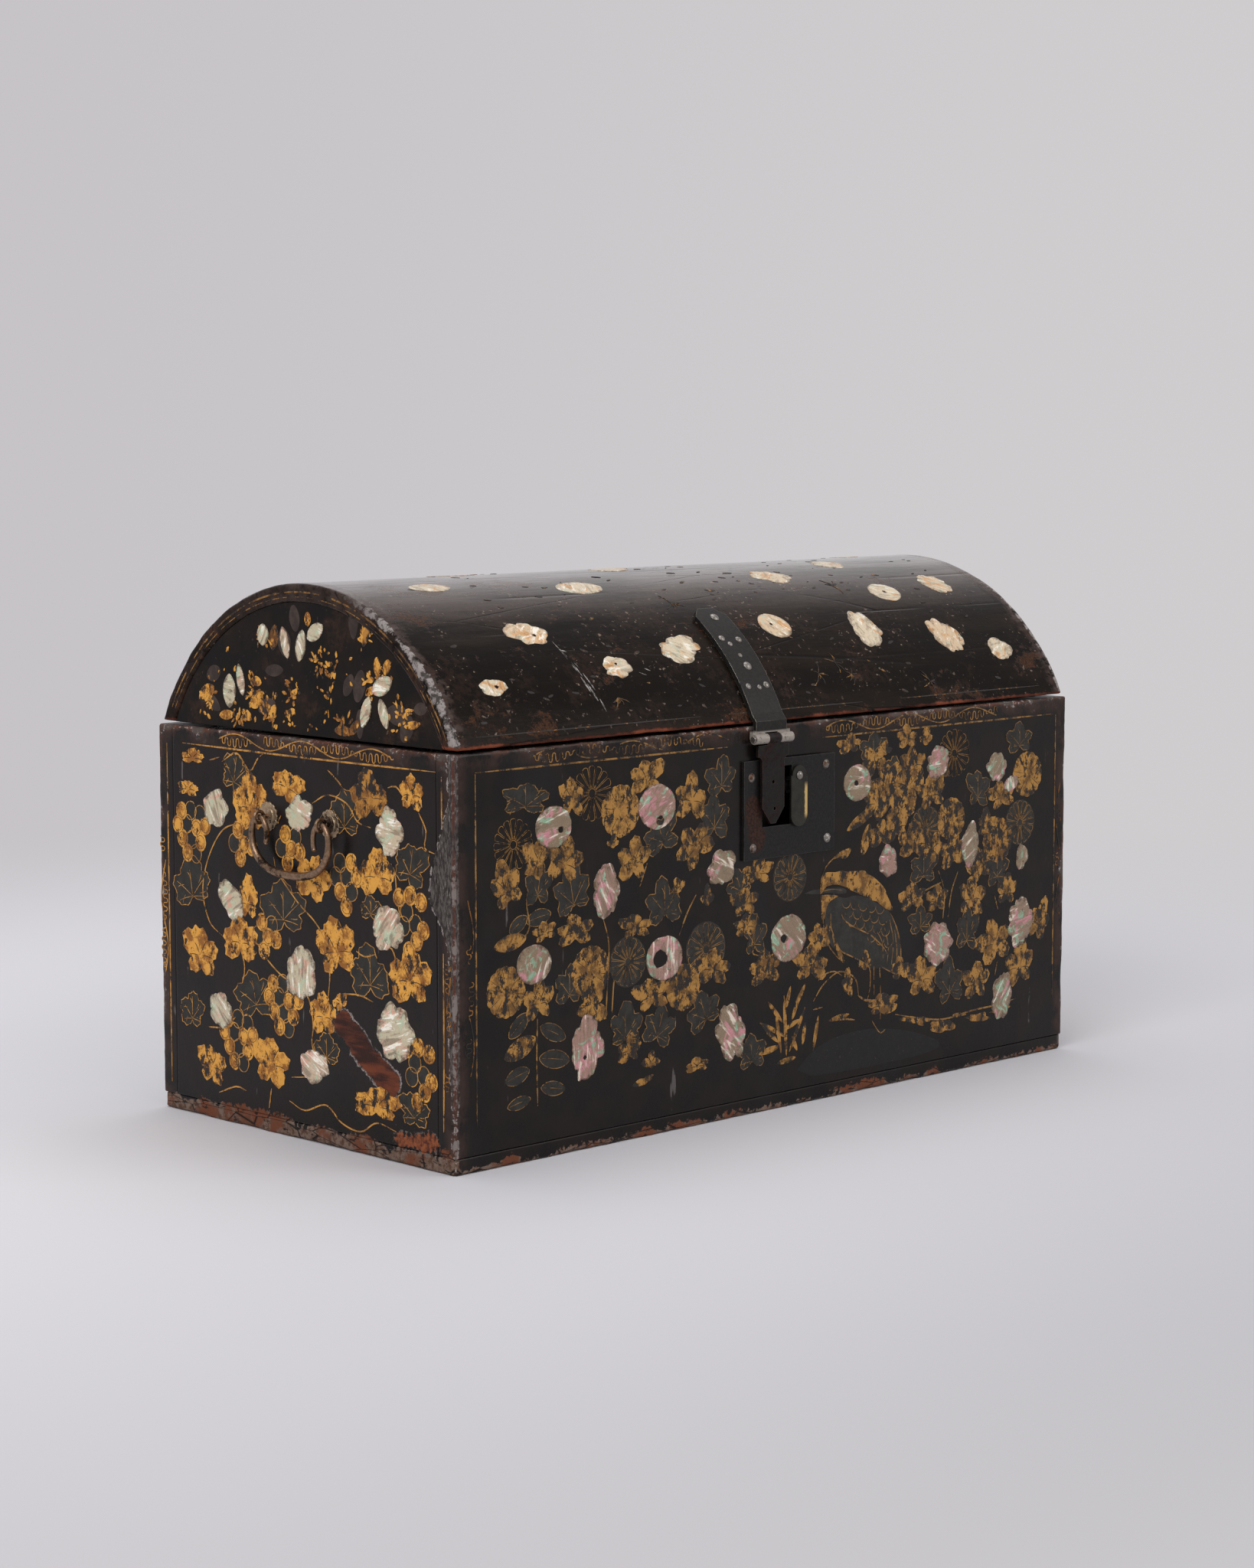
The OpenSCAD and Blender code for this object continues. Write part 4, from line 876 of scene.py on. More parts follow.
makeBoards()
print("stage: boards made")

# The barrel: nine staves under one skin of lacquer, with cracks where their joints have moved
barrelWear = {"step": 2.4, "ends": 1.8, "rim": 1.2, "crack": 0.14, "insideGroove": 0.6}


def makeBarrel():
    w = barrelWear
    seams = barrelArc * np.arange(1, staveCount) / staveCount
    around = np.concatenate([seams - 0.7, seams, seams + 0.7])
    low, high = (-lidHalfWidth, 0, -staveThick), (lidHalfWidth, barrelArc, 0)

    def crackSeams(co, moved):
        out = moved.copy()
        onSeam = np.abs(co[:, 1][:, None] - seams[None]).min(1) < 0.1
        openness = np.clip(latticeNoise(co * [0.3, 1, 1], 12, 77) + 0.1, 0, 1)
        top, under = co[:, 2] > -0.01, co[:, 2] < -staveThick + 0.01
        out[onSeam & top, 2] -= (w["crack"] * openness)[onSeam & top]
        out[onSeam & under, 2] += w["insideGroove"]
        wave = 0.16 * latticeNoise(co * [0.4, 1, 1], 30, 78)
        inner = (np.abs(co[:, 0]) < lidHalfWidth - 8) & (co[:, 1] > 8) & (co[:, 1] < barrelArc - 8)
        out[top & inner, 2] += np.minimum(wave, 0)[top & inner]
        return out

    inset = [(w["ends"], w["rim"], 0.8), (w["ends"], w["rim"], w["ends"] * 0.8)]
    pile = blockPile(low, high, (w["step"],) * 3, inset, 91, extra=((), around, ()), mapping=onBarrel,
                     shift=crackSeams, chip=1.2)
    staves = [f"lid_stave_{k}" for k in range(1, staveCount + 1)]
    makePiece("barrel_lacquered", pile, lidLacquerMat, "lid", staves)


makeBarrel()
print("stage: barrel made")

# Handles: a tapering wire, thick at the grip, curled over through its eyes
bailShape = {"grip": 2.05, "end": 1.25, "out": 6.0, "sides": 14}
bailPath = [
    (18.6, -12.5), (17.9, -9), (18.2, -4.4), (20.2, -1.0), (23.5, 0), (26.6, -0.9), (28.7, -4.2),
    (29.3, -9), (28.2, -14.4), (24.6, -19.6), (18.4, -23.7), (9.6, -25.9), (0, -26.5),
]


def tubeAlong(path, radius, sides):
    # a ring of points square to the path at each step, turned with it, with a blunt tip at each end
    p = np.asarray(path, float)
    ahead = np.gradient(p, axis=0)
    ahead /= np.linalg.norm(ahead, axis=1)[:, None]
    up = np.tile([0.0, 0.0, 1.0], (len(p), 1))
    side = np.cross(ahead, up)
    side /= np.linalg.norm(side, axis=1)[:, None]
    up = np.cross(side, ahead)
    turn = circle(sides)[1][None, :, :, None]
    co = p[:, None] + (turn[:, :, 0] * side[:, None] + turn[:, :, 1] * up[:, None]) * radius[:, None, None]
    quads = gridQuads(len(p), sides, closed=True)
    k = np.arange(sides)
    last = (len(p) - 1) * sides
    total = len(p) * sides
    tips = [p[0] - ahead[0] * radius[0] * 0.5, p[-1] + ahead[-1] * radius[-1] * 0.5]
    start = np.stack([np.full(sides, total), (k + 1) % sides, k], -1)
    end = np.stack([np.full(sides, total + 1), last + k, last + (k + 1) % sides], -1)
    co = np.r_[co.reshape(-1, 3), tips]
    normalsIn = np.dot(np.cross(co[quads[0, 1]] - co[quads[0, 0]], co[quads[0, 3]] - co[quads[0, 0]]),
                       co[quads[0, 0]] - p[0])
    if normalsIn < 0:
        quads, start, end = quads[:, ::-1], start[:, ::-1], end[:, ::-1]
    return co, quads, np.r_[start, end]


def makeBail(side, face, node, eyeHeight):
    s = bailShape
    half = smoothPath(bailPath, 0.7)
    flat = np.r_[half, half[-2::-1] * [-1, 1]]
    lengths = np.r_[0, np.cumsum(np.linalg.norm(np.diff(flat, axis=0), axis=1))]
    share = lengths / lengths[-1]
    radius = s["end"] + (s["grip"] - s["end"]) * np.sin(np.pi * share) ** 1.6
    path = np.c_[flat, np.zeros(len(flat))]
    co, quads, tris = tubeAlong(path, radius, s["sides"])
    pile = newPile()
    world = face(co[:, 0], co[:, 1] + eyeHeight, co[:, 2] + s["out"])
    addToPile(pile, world, quads, tris, 0.5, 0.4)
    return makePiece(f"{side}_bail_wire", pile, copperMat, f"{side}_bail", (node,))


eyeLow, eyeHigh = boxMm("left_bail_rosettes")
eyeHeight = (eyeLow[2] + eyeHigh[2]) / 2
makeBail("left", onLeft, "left_bail", eyeHeight)
makeBail("right", onRight, "right_bail", eyeHeight)
print("stage: handles made")

# Shell inlay. Each row: across, up, width, height, lobes, turn, and for a few a hole (across, up, size)
frontShells = [
    (-162, 158, 23, 20, 0, 0, (4.5, -1.5, 3.2)), (-93, 162, 25, 22, 0, 0, (2, -7, 5)),
    (-175, 94, 22, 19, 0, 0), (-88, 87, 25, 22, 0, 0, (-3, 0, 9.5)), (1, 87, 26, 24, 0, 0, (-3.5, 0, 4.4)),
    (53, 162, 21, 19, 0, 0, (-1, 0, 3)), (117, 168, 18, 17, 7, 0), (166, 162, 17, 16, 6, 0),
    (178, 152, 13, 8, 0, 20), (-128, 124, 19, 28, 6, 10), (-48, 128, 22, 19, 5, 30),
    (78, 119, 15, 19, 5, 20), (144, 121, 14, 25, 4, -8), (188, 111, 10, 14, 3, 0),
    (-141, 50, 22, 31, 7, -10, (-1, -5, 2.2)), (-41, 44, 19, 30, 6, 12), (118, 71, 24, 25, 7, 0),
    (187, 75, 22, 28, 6, 15), (172, 36, 16, 26, 5, 0),
]
leftShells = [
    (-66, 157, 21, 20, 5, 0), (0, 160, 21, 18, 5, 25), (67, 157, 19, 25, 6, 0), (-54, 112, 15, 23, 5, 40),
    (65, 111, 21, 20, 6, 10), (0, 83, 26, 23, 4, 45), (-64, 56, 18, 18, 5, 0), (9, 38, 20, 16, 4, 20),
    (70, 62, 27, 28, 6, 0),
]
rightShells = [
    (-70, 62, 26, 27, 6, 20), (-62, 118, 20, 21, 5, 0), (-66, 160, 20, 22, 5, 40), (2, 166, 20, 17, 5, 0),
    (60, 152, 21, 20, 6, 0), (56, 104, 16, 23, 5, 15), (-4, 90, 25, 23, 4, 0), (66, 54, 19, 20, 5, 30),
    (-12, 40, 20, 17, 5, 0),
]
barrelShells = [
    (-185, 31, 18, 10, 3, 0, (2, 0, 2)), (-143, 63, 26, 17, 6, 0, (4, -2, 2)),
    (-100, 37, 18, 13, 3, 20, (0, 2, 1.6)), (-51, 46, 27, 17, 5, 0), (27, 57, 21, 18, 0, 0, (-2, 1, 1.8)),
    (91, 50, 20, 26, 6, 0), (150, 42, 20, 26, 5, 10), (187, 30, 18, 14, 3, 0),
    (133, 79, 22, 17, 0, 0, (0, 0, 2.4)), (180, 85, 20, 22, 5, 30), (-165, 113, 24, 13, 0, 0),
    (-75, 102, 30, 16, 0, 0), (67, 104, 24, 18, 6, 0), (130, 120, 20, 17, 5, 0), (-120, 150, 22, 17, 6, 0),
    (-20, 138, 22, 18, 5, 20), (30, 166, 24, 18, 0, 0), (-66, 180, 24, 20, 6, 0), (100, 176, 22, 18, 5, 0),
    (176, 150, 20, 16, 6, 0), (-176, 196, 20, 18, 5, 10), (-16, 212, 24, 20, 6, 0), (60, 224, 20, 18, 0, 0),
    (150, 216, 22, 18, 5, 0), (-84, 236, 24, 18, 6, 0),
]
lidPetals = [
    (-57.5, 18, 10, 17, 0), (-48.5, 24, 6, 16, 12), (-30.5, 47, 9, 11, 0), (-13.5, 44, 6.5, 16, 15),
    (-1.5, 43, 7.5, 16, -12), (9.5, 50, 14, 8, 30), (58.5, 27, 16, 9, 25), (46.5, 14, 7, 16, -20),
    (59.5, 14, 6.5, 15, 20),
]


def makeShells(name, rows, face, material, body, node, bed=0.85, proud=0.32, dome=0.25, seed=0):
    pile = newPile()
    for k, row in enumerate(rows):
        x, y, w, h, lobes, turn = row[:6]
        shape = lobedOutline(w, h, lobes, bite=0.17, rough=0.07 if lobes else 0.03, seed=seed + k,
                             uneven=0.55 if lobes else 0.08)
        outline = turned(shape, x, y, turn)
        tone = (seed * 0.37 + k * 0.618) % 1
        if len(row) > 6:
            hx, hy, size = row[6]
            hole = turned(ovalOutline(size, size * 0.92, len(outline), 0.12, seed + k), x + hx, y + hy,
                          turn)
            addHoledPatch(pile, outline, hole, face, proud, tone, bed)
        else:
            addPatch(pile, outline, face, proud, tone, (x, y), bed, dome)
    makePiece(name, pile, material, body, (node,))


def makePetals(name, face, node, seed):
    pile = newPile()
    for k, (x, y, w, h, turn) in enumerate(lidPetals):
        outline = turned(bladeOutline(max(w, h), min(w, h)), x, y + rimHeight, turn + (90 if h > w else 0))
        addPatch(pile, outline, face, 0.3, (k * 0.618 + seed * 0.1) % 1, None, 0.85)
    makePiece(name, pile, endShellMat, "lid", (node,))


makeShells("front_shell_inlay", frontShells, onFront, frontShellMat, "carcase", "front_shells", seed=3)
makeShells("left_end_shell_inlay", leftShells, onLeft, endShellMat, "carcase", "left_end_shells", seed=31)
makeShells("right_end_shell_inlay", rightShells, onRight, endShellMat, "carcase", "right_end_shells",
           seed=53)
makeShells("barrel_shell_inlay", barrelShells, onBarrel, lidShellMat, "lid", "barrel_shells", 1.0, 0.15,
           0.2, 71)
makePetals("lid_left_shell_inlay", onLidLeft, "lid_left_shells", 1)
makePetals("lid_right_shell_inlay", onLidRight, "lid_right_shells", 4)
print("stage: shell inlay made")


# Gold painting. The motifs are functions that add to piles of solid gold, gold lines and dark fillings
def addLeaf(piles, face, x, y, w, h, turn=0, tone=0.3, lobes=5, seed=0, sharp=True):
    outline = turned(leafOutline(w, h, lobes=lobes, seed=seed, sharp=sharp), x, y, turn)
    addPatch(piles["gold"], outline, face, 0.10, tone, (x, y))
    fan = np.linspace(-1, 1, lobes) * max(leafForms[lobes][0])
    for k, angle in enumerate((fan[1:] + fan[:-1]) / 2):
        a = math.radians(90 + angle)
        tip = np.array([math.cos(a) * w, math.sin(a) * h]) * (0.36 if (k + seed) % 3 else 0.28)
        line = turned(smoothPath([tip * 0.2, tip * 0.6 + [0, h * 0.02], tip], 3), x, y, turn)
        addRibbon(piles["vein"], line, 0.36, face, 0.15, tone=tone, sink=0.1)


def addLineLeaf(piles, face, x, y, w, h, turn=0, lobes=5, seed=0, tone=0.4, sharp=True):
    outline = turned(leafOutline(w, h, lobes=lobes, seed=seed, sharp=sharp), x, y, turn)
    addPatch(piles["dark"], outline, face, 0.05, tone, (x, y))
    addRibbon(piles["line"], outline, 0.44, face, closed=True, tone=tone)
    foot = np.array([0, -h * 0.16])
    for angle in np.linspace(-1, 1, lobes) * (72 if lobes == 3 else 122):
        a = math.radians(90 + angle)
        tip = np.array([math.cos(a) * w, math.sin(a) * h]) * 0.42
        bend = np.array([-tip[1], tip[0]]) * 0.10
        for path in ([foot, tip * 0.5 + foot * 0.4, tip * 0.95],
                     [tip * 0.5, tip * 0.72 + bend, tip * 0.84 + bend * 2]):
            addRibbon(piles["line"], turned(smoothPath(path, 3), x, y, turn), 0.32, face, tone=tone)


def addMum(piles, face, x, y, r, petals=16, tone=0.4, filled=False):
    # a chrysanthemum in lines: long round-ended petals about a small eye
    if filled:
        addPatch(piles["dark"], turned(ovalOutline(2 * r, 2 * r, 40), x, y, 0), face, 0.05, tone, (x, y))
    for k in range(petals):
        a = 2 * np.pi * k / petals
        half = np.pi / petals * 0.80
        t = np.linspace(0, np.pi, 7)
        end = np.stack([np.cos(t - np.pi / 2) * half * r * 0.55 + r * 0.86,
                        np.sin(t - np.pi / 2) * half * r * 0.86], -1)
        loop = np.vstack([[r * 0.2, -half * r * 0.16], end, [r * 0.2, half * r * 0.16]])
        loop = loop @ np.array([[math.cos(a), math.sin(a)], [-math.sin(a), math.cos(a)]]) + [x, y]
        addRibbon(piles["line"], loop, 0.28, face, tone=tone, taper=0.8)
    addRibbon(piles["line"], turned(ovalOutline(r * 0.34, r * 0.34, 10), x, y, 0), 0.34, face, closed=True,
              tone=tone)


def addDisc(piles, face, x, y, r, tone=0.3, seed=0, petals=16):
    # a solid gold chrysanthemum, its petals only just parted by dark lines
    outline = lobedOutline(2 * r, 2 * r, petals, 64, 0.05, 0.02, seed)
    addPatch(piles["gold"], turned(outline, x, y, 0), face, 0.10, tone, (x, y))
    for k in range(petals):
        a = 2 * np.pi * (k + 0.5) / petals
        ray = np.array([[math.cos(a), math.sin(a)]])
        if (k * 7 + seed) % 3:
            addRibbon(piles["vein"], np.r_[ray * r * 0.34, ray * r * 0.66, ray * r * 0.93] + [x, y], 0.26,
                      face, 0.15, tone=tone, sink=0.1)


def addBlade(piles, face, x, y, w, h, turn, tone=0.35, kind="gold"):
    # a pointed leaf in gold, in plain dark paint, or dark with a gold outline
    outline = turned(bladeOutline(w, h), x, y, turn)
    if kind == "gold":
        addPatch(piles["gold"], outline, face, 0.09, tone)
    else:
        addPatch(piles["dark"], outline, face, 0.05, tone)
    if kind == "dark":
        addRibbon(piles["line"], outline, 0.36, face, closed=True, tone=tone)
        spine = turned(np.array([(-w * 0.4, 0), (0, 0.2), (w * 0.4, 0)]), x, y, turn)
        addRibbon(piles["line"], spine, 0.28, face, tone=tone)


def addStem(piles, face, points, width=0.7, tone=0.4):
    addRibbon(piles["line"], smoothPath(points, 2.2), width, face, tone=tone)


def addGrapes(piles, face, x, y, places, r=4.4, tone=0.35):
    # a bunch: places are (across, up, filled) in berry widths
    for k, (a, b, filled) in enumerate(places):
        cx, cy = x + a * r * 1.75, y + b * r * 1.75
        ring = turned(ovalOutline(2 * r, 2 * r * 1.06, 22, 0.03, k), cx, cy, 0)
        if filled:
            addPatch(piles["gold"], ring, face, 0.12, tone + 0.05 * (k % 3), (cx, cy))
            addRibbon(piles["vein"], turned(ovalOutline(r * 1.5, r * 1.55, 14), cx, cy, 0), 0.22, face,
                      0.16, True, tone, sink=0.05)
        else:
            addPatch(piles["dark"], ring, face, 0.06, tone, (cx, cy))
            addRibbon(piles["line"], ring, 0.45, face, closed=True, tone=tone)


def addScroll(piles, face, start, end, level, height, upright=False, tone=0.45, keep=0.75, seed=0):
    # a long wave, and a meander that swells into loops on its hollow side
    # and shrinks where it crosses the wave
    rng = np.random.default_rng(seed)
    s = np.arange(start, end, 0.4)
    waveLength, loopLength = 52, 4.4
    swing = np.sin(2 * np.pi * (s - start) / waveLength)
    phase = 2 * np.pi * s / loopLength
    size = 0.30 * height * np.abs(swing) ** 0.45
    wave = np.stack([s, level + 0.42 * height * swing], -1)
    loops = np.stack([s - 0.36 * np.sin(2 * phase), level - 0.16 * height * swing + size * np.sin(phase)],
                     -1)
    for path, width, chunk in ((wave, 0.65, 36), (loops, 0.55, 22)):
        for first in range(0, len(s) - 6, chunk):
            if rng.random() < keep:
                part = path[first:first + chunk + 1][::3 if chunk == 36 else 1]
                addRibbon(piles["line"], part[:, ::-1] if upright else part, width, face, tone=tone,
                          taper=0.7)


def goldPiles():
    return {"gold": newPile(), "line": newPile(), "dark": newPile(), "vein": newPile()}


def finishPiles(prefix, piles, body, goldMaterial=frontGoldMat, lineMaterial=thinGoldMat,
                darkMaterial=sootMat):
    kinds = {"gold": ("gold_leaves", goldMaterial, "lacquer"),
             "line": ("gold_lines", lineMaterial, "lacquer"),
             "dark": ("silver_leaves", darkMaterial, "lacquer"),
             "vein": ("leaf_veins", sootMat, "lacquer")}
    for key, (label, material, slotName) in kinds.items():
        if piles[key]["count"]:
            makePiece(f"{prefix}_{label}", piles[key], material, body, smooth=False)


frontGold = {
    # x, z, radius, tone
    "discs": [
        (-118, 162, 13, 0.25), (-193, 83, 12.5, 0.3), (-138, 86, 13, 0.35), (192, 156, 12.5, 0.1),
        (128, 137, 11.5, 0.5), (167, 122, 12.5, 0.7), (-75, 71, 12, 0.4),
    ],
    "mums": [
        (-137, 172, 14, 0), (-188, 152, 13, 0), (-113, 88, 12.5, 1), (-59, 88, 14, 1), (2, 118, 12.5, 1),
        (130, 172, 13.5, 0), (107, 133, 13, 1), (186, 130, 12.5, 1),
    ],
    # x, z, width, height, turn, tone
    "leaves": [
        (-150, 170, 17, 21, 10, 0.3), (-172, 143, 19, 17, 60, 0.3), (-155, 140, 20, 19, -20, 0.35),
        (-100, 176, 23, 18, 0, 0.35), (-69, 163, 20, 23, -10, 0.25), (-66, 140, 25, 21, 40, 0.35),
        (-109, 136, 21, 23, 0, 0.4), (-123, 146, 9, 8, 0, 0.5), (-192, 130, 19, 22, 20, 0.3),
        (-148, 106, 22, 15, 0, 0.5), (-108, 104, 21, 11, 0, 0.55), (-168, 108, 14, 9, 10, 0.4),
        (-172, 75, 18, 19, 0, 0.4), (-137, 70, 20, 19, 180, 0.4), (-97, 69, 25, 17, 10, 0.4),
        (-54, 77, 24, 17, -10, 0.45), (-22, 122, 22, 14, 0, 0.6), (-31, 108, 19, 14, 0, 0.6),
        (-30, 96, 16, 11, 0, 0.6), (-16, 72, 24, 18, 10, 0.5), (18, 70, 24, 17, -10, 0.4),
        (24, 84, 14, 15, -60, 0.3), (47, 182, 17, 11, 0, 0.4), (74, 177, 13, 10, 0, 0.4),
        (77, 158, 25, 26, 20, 0.5), (97, 168, 19, 17, 0, 0.5), (107, 180, 12, 11, 0, 0.4),
        (88, 145, 20, 18, 30, 0.6), (98, 126, 26, 20, 0, 0.65), (170, 145, 22, 15, 10, 0.3),
        (130, 118, 19, 20, 0, 0.6), (97, 97, 23, 15, 10, 0.45), (117, 94, 17, 14, 0, 0.55),
        (146, 92, 22, 22, 0, 0.6), (166, 66, 26, 24, 10, 0.4), (203, 72, 15, 22, -30, 0.5),
        (105, 53, 24, 21, 0, 0.35), (150, 45, 21, 21, 0, 0.4), (187, 50, 23, 26, 0, 0.45),
        (-65, 30, 15, 7, 0, 0.4), (-97, 36, 12, 12, 0, 0.6), (74, 43, 22, 10, 0, 0.45),
        (46, 57, 10, 14, 0, 0.45), (-78, 120, 11, 9, 20, 0.5), (-58, 112, 10, 12, 0, 0.6),
        (72, 133, 18, 14, 0, 0.65), (-112, 44, 15, 14, 0, 0.7), (66, 171, 18, 15, 30, 0.4),
        (92, 182, 15, 12, 0, 0.35), (93, 157, 22, 20, -20, 0.5), (68, 150, 17, 18, 60, 0.55),
        (112, 151, 20, 17, 0, 0.5), (120, 162, 14, 14, 40, 0.4), (84, 136, 19, 18, 10, 0.6),
        (112, 122, 18, 17, -30, 0.6), (152, 108, 20, 18, 20, 0.55), (175, 92, 17, 17, 0, 0.6),
        (88, 60, 14, 12, 0, 0.6), (60, 66, 12, 12, 0, 0.6), (158, 130, 16, 15, 0, 0.6),
    ],
    "lineLeaves": [
        (-180, 172, 36, 17, 0), (-150, 124, 26, 27, 10), (-172, 130, 16, 21, -10), (-90, 147, 26, 20, 20),
        (-88, 113, 24, 25, 0), (-53, 152, 22, 24, 0), (-152, 80, 20, 22, 0), (-60, 56, 25, 21, 20),
        (-115, 54, 24, 22, 0), (-92, 52, 22, 22, -20), (-24, 90, 18, 22, 0), (-26, 30, 21, 18, 0),
        (65, 179, 22, 14, 0), (82, 163, 22, 22, 0), (150, 150, 21, 22, 0), (185, 175, 22, 17, 0),
        (106, 112, 24, 22, 0), (167, 105, 21, 19, 0), (104, 84, 20, 16, 0), (142, 74, 20, 26, 0),
        (128, 47, 22, 25, 0), (-35, 117, 18, 16, 20), (-48, 172, 22, 22, 0),
    ],
    # x, z, length, width, turn, tone, kind
    "blades": [
        (-190, 106, 21, 8, 8, 0.3, "gold"), (-184, 55, 22, 10, 20, 0.5, "gold"),
        (-162, 47, 20, 9, -10, 0.4, "dark"), (-186, 42, 16, 8, 15, 0.5, "dark"),
        (-163, 60, 18, 8, -25, 0.5, "dark"), (-185, 66, 16, 8, 40, 0.5, "dark"),
        (-163, 33, 16, 7, -10, 0.5, "dark"), (-185, 29, 15, 6, 10, 0.6, "dark"),
        (-172, 116, 16, 8, 10, 0.4, "dark"), (-185, 114, 13, 7, 30, 0.4, "dark"),
        (56, 143, 24, 6, 25, 0.55, "gold"), (60, 132, 7, 17, -20, 0.6, "gold"),
        (40, 41, 16, 3, 5, 0.4, "gold"), (-13, 31, 16, 3.4, 8, 0.25, "gold"),
        (0, 24, 14, 3, 6, 0.3, "gold"),
    ],
    "stems": [
        [(-173, 26), (-173.5, 48), (-173, 68)], [(-128, 62), (-127, 80), (-126, 98), (-130, 112)],
        [(-124, 64), (-123, 76), (-122, 84)], [(-105, 124), (-100, 135)],
        [(122, 84), (123, 98), (118, 110)], [(126, 84), (129, 98), (134, 108)], [(165, 92), (168, 84)],
        [(168, 56), (166, 48)], [(-78, 97), (-72, 108), (-66, 116)],
        [(-180, 124), (-178, 112), (-183, 106)], [(105, 100), (122, 104)],
        [(-22, 102), (-26, 84), (-20, 80)], [(20, 52), (28, 60), (40, 65), (52, 60), (55, 50)],
    ],
    "mound": [
        (8, 18), (20, 26), (38, 31), (62, 32), (84, 29), (104, 24), (120, 17), (110, 13), (60, 12),
        (20, 13),
    ],
    # x, z, width, height, turn, tone
    "shore": [
        (101, 31.6, 22, 4.6, -14, 0.5), (121, 26, 20, 6, -8, 0.45), (136, 30, 12, 2.4, 0, 0.5),
        (152, 27, 20, 5, -4, 0.55), (170, 29, 14, 3, 2, 0.6), (-102, 28, 14, 4, 10, 0.6),
    ],
    "shoreLine": [(84, 37), (104, 32.4), (124, 29.4), (146, 31), (168, 31.6), (184, 33)],
    "borders": [
        [(-211.5, 187.5), (-120, 187.5), (-44, 187.5)], [(26, 187.5), (120, 187.5), (214, 187.5)],
        [(-211.5, 187), (-211.5, 100), (-211.5, 22)], [(216, 187), (216, 100), (216, 30)],
    ],
    # start, end, level, height, upright, tone, share kept
    "scrolls": [
        (-176, -42, 192.2, 7.4, False, 0.6, 0.8), (28, 166, 192.2, 7.4, False, 0.2, 0.97),
        (46, 130, -215.4, 5.4, True, 0.9, 0.45), (40, 150, 219.5, 4.5, True, 0.9, 0.45),
    ],
}
# a tuft of grass: foot, tip, width
grassBlades = [
    ((-4, 28), (-8, 50)), ((0, 26), (-2, 58)), ((2, 28), (14, 50)), ((4, 30), (6, 36)),
    ((-6, 34), (-18, 44)), ((-2, 40), (10, 44)), ((-3, 44), (-14, 56)), ((4, 44), (10, 58)),
    ((8, 28), (4, 36)), ((12, 30), (14, 42)), ((20, 26), (24, 44)), ((0, 36), (-20, 46)),
    ((-1, 50), (3, 62)), ((6, 50), (14, 62)),
]


# the standing bird as outlines and lines on the front, and the kinds of paint that fill them
birdFills = [
    ("dark", 0.5, [(30, 101), (28.6, 94), (30, 85), (34, 79), (40, 75.5), (49, 71.5), (57, 68), (64, 64),
                   (72, 63), (80, 60), (87, 59), (88.5, 70), (86, 80), (80, 91), (72, 96), (62, 101),
                   (52, 103.5), (44, 103), (36, 104.5)], (52, 86)),
    ("gold", 0.1, [(25.5, 107), (26, 113), (28.5, 117.5), (36, 117.2), (44, 116.8), (46, 108.6),
                   (38, 110.6), (30, 110.4)], (34, 113.6)),
    ("gold", 0.1, [(43, 116.8), (52, 116.2), (61, 114.4), (62, 102.4), (53, 104.8), (45, 109)],
     (53, 110.6)),
    ("gold", 0.1, [(59, 115), (68, 110.5), (76, 103), (70, 98.6), (60, 103)], (66.5, 106.5)),
    ("gold", 0.1, [(74, 105), (79.5, 97), (81.6, 92.4), (76, 94), (68, 100)], (75.8, 98.5)),
    ("gold", 0.2, [(25, 106.4), (31, 106), (38.5, 104.6), (33, 102.8), (30, 100), (28.4, 94), (26.2, 94),
                   (26, 100)], (28.4, 103)),
    ("gold", 0.2, [(34, 87), (36.6, 83), (39.8, 77), (43.2, 72.4), (43.6, 69), (41, 70.6), (37.6, 75.6),
                   (35, 81)], (38.6, 77.5)),
    ("gold", 0.5, [(32.5, 123.6), (40, 127.4), (48, 128.6), (47.4, 126), (44, 123.4), (39, 124.4)],
     (41.5, 125.6)),
    ("gold", 0.3, [(44, 58), (46, 61.4), (49, 59.6), (50.2, 54), (49.4, 50.4), (46.4, 52.6), (43.6, 55)],
     (47, 56)),
    ("gold", 0.3, [(66, 42.4), (72.4, 45.6), (77.6, 47.6), (80.6, 44), (85.6, 42.4), (84, 39.4), (76, 38),
                   (71, 40.4)], (76, 42.5)),
    ("dark", 0.5, [(13, 108.4), (20, 107.4), (31, 107), (39, 105.8), (44.4, 105.4), (44.8, 107.2),
                   (40, 108.8), (30, 109.4), (20, 109.6)], (32, 108.1)),
]
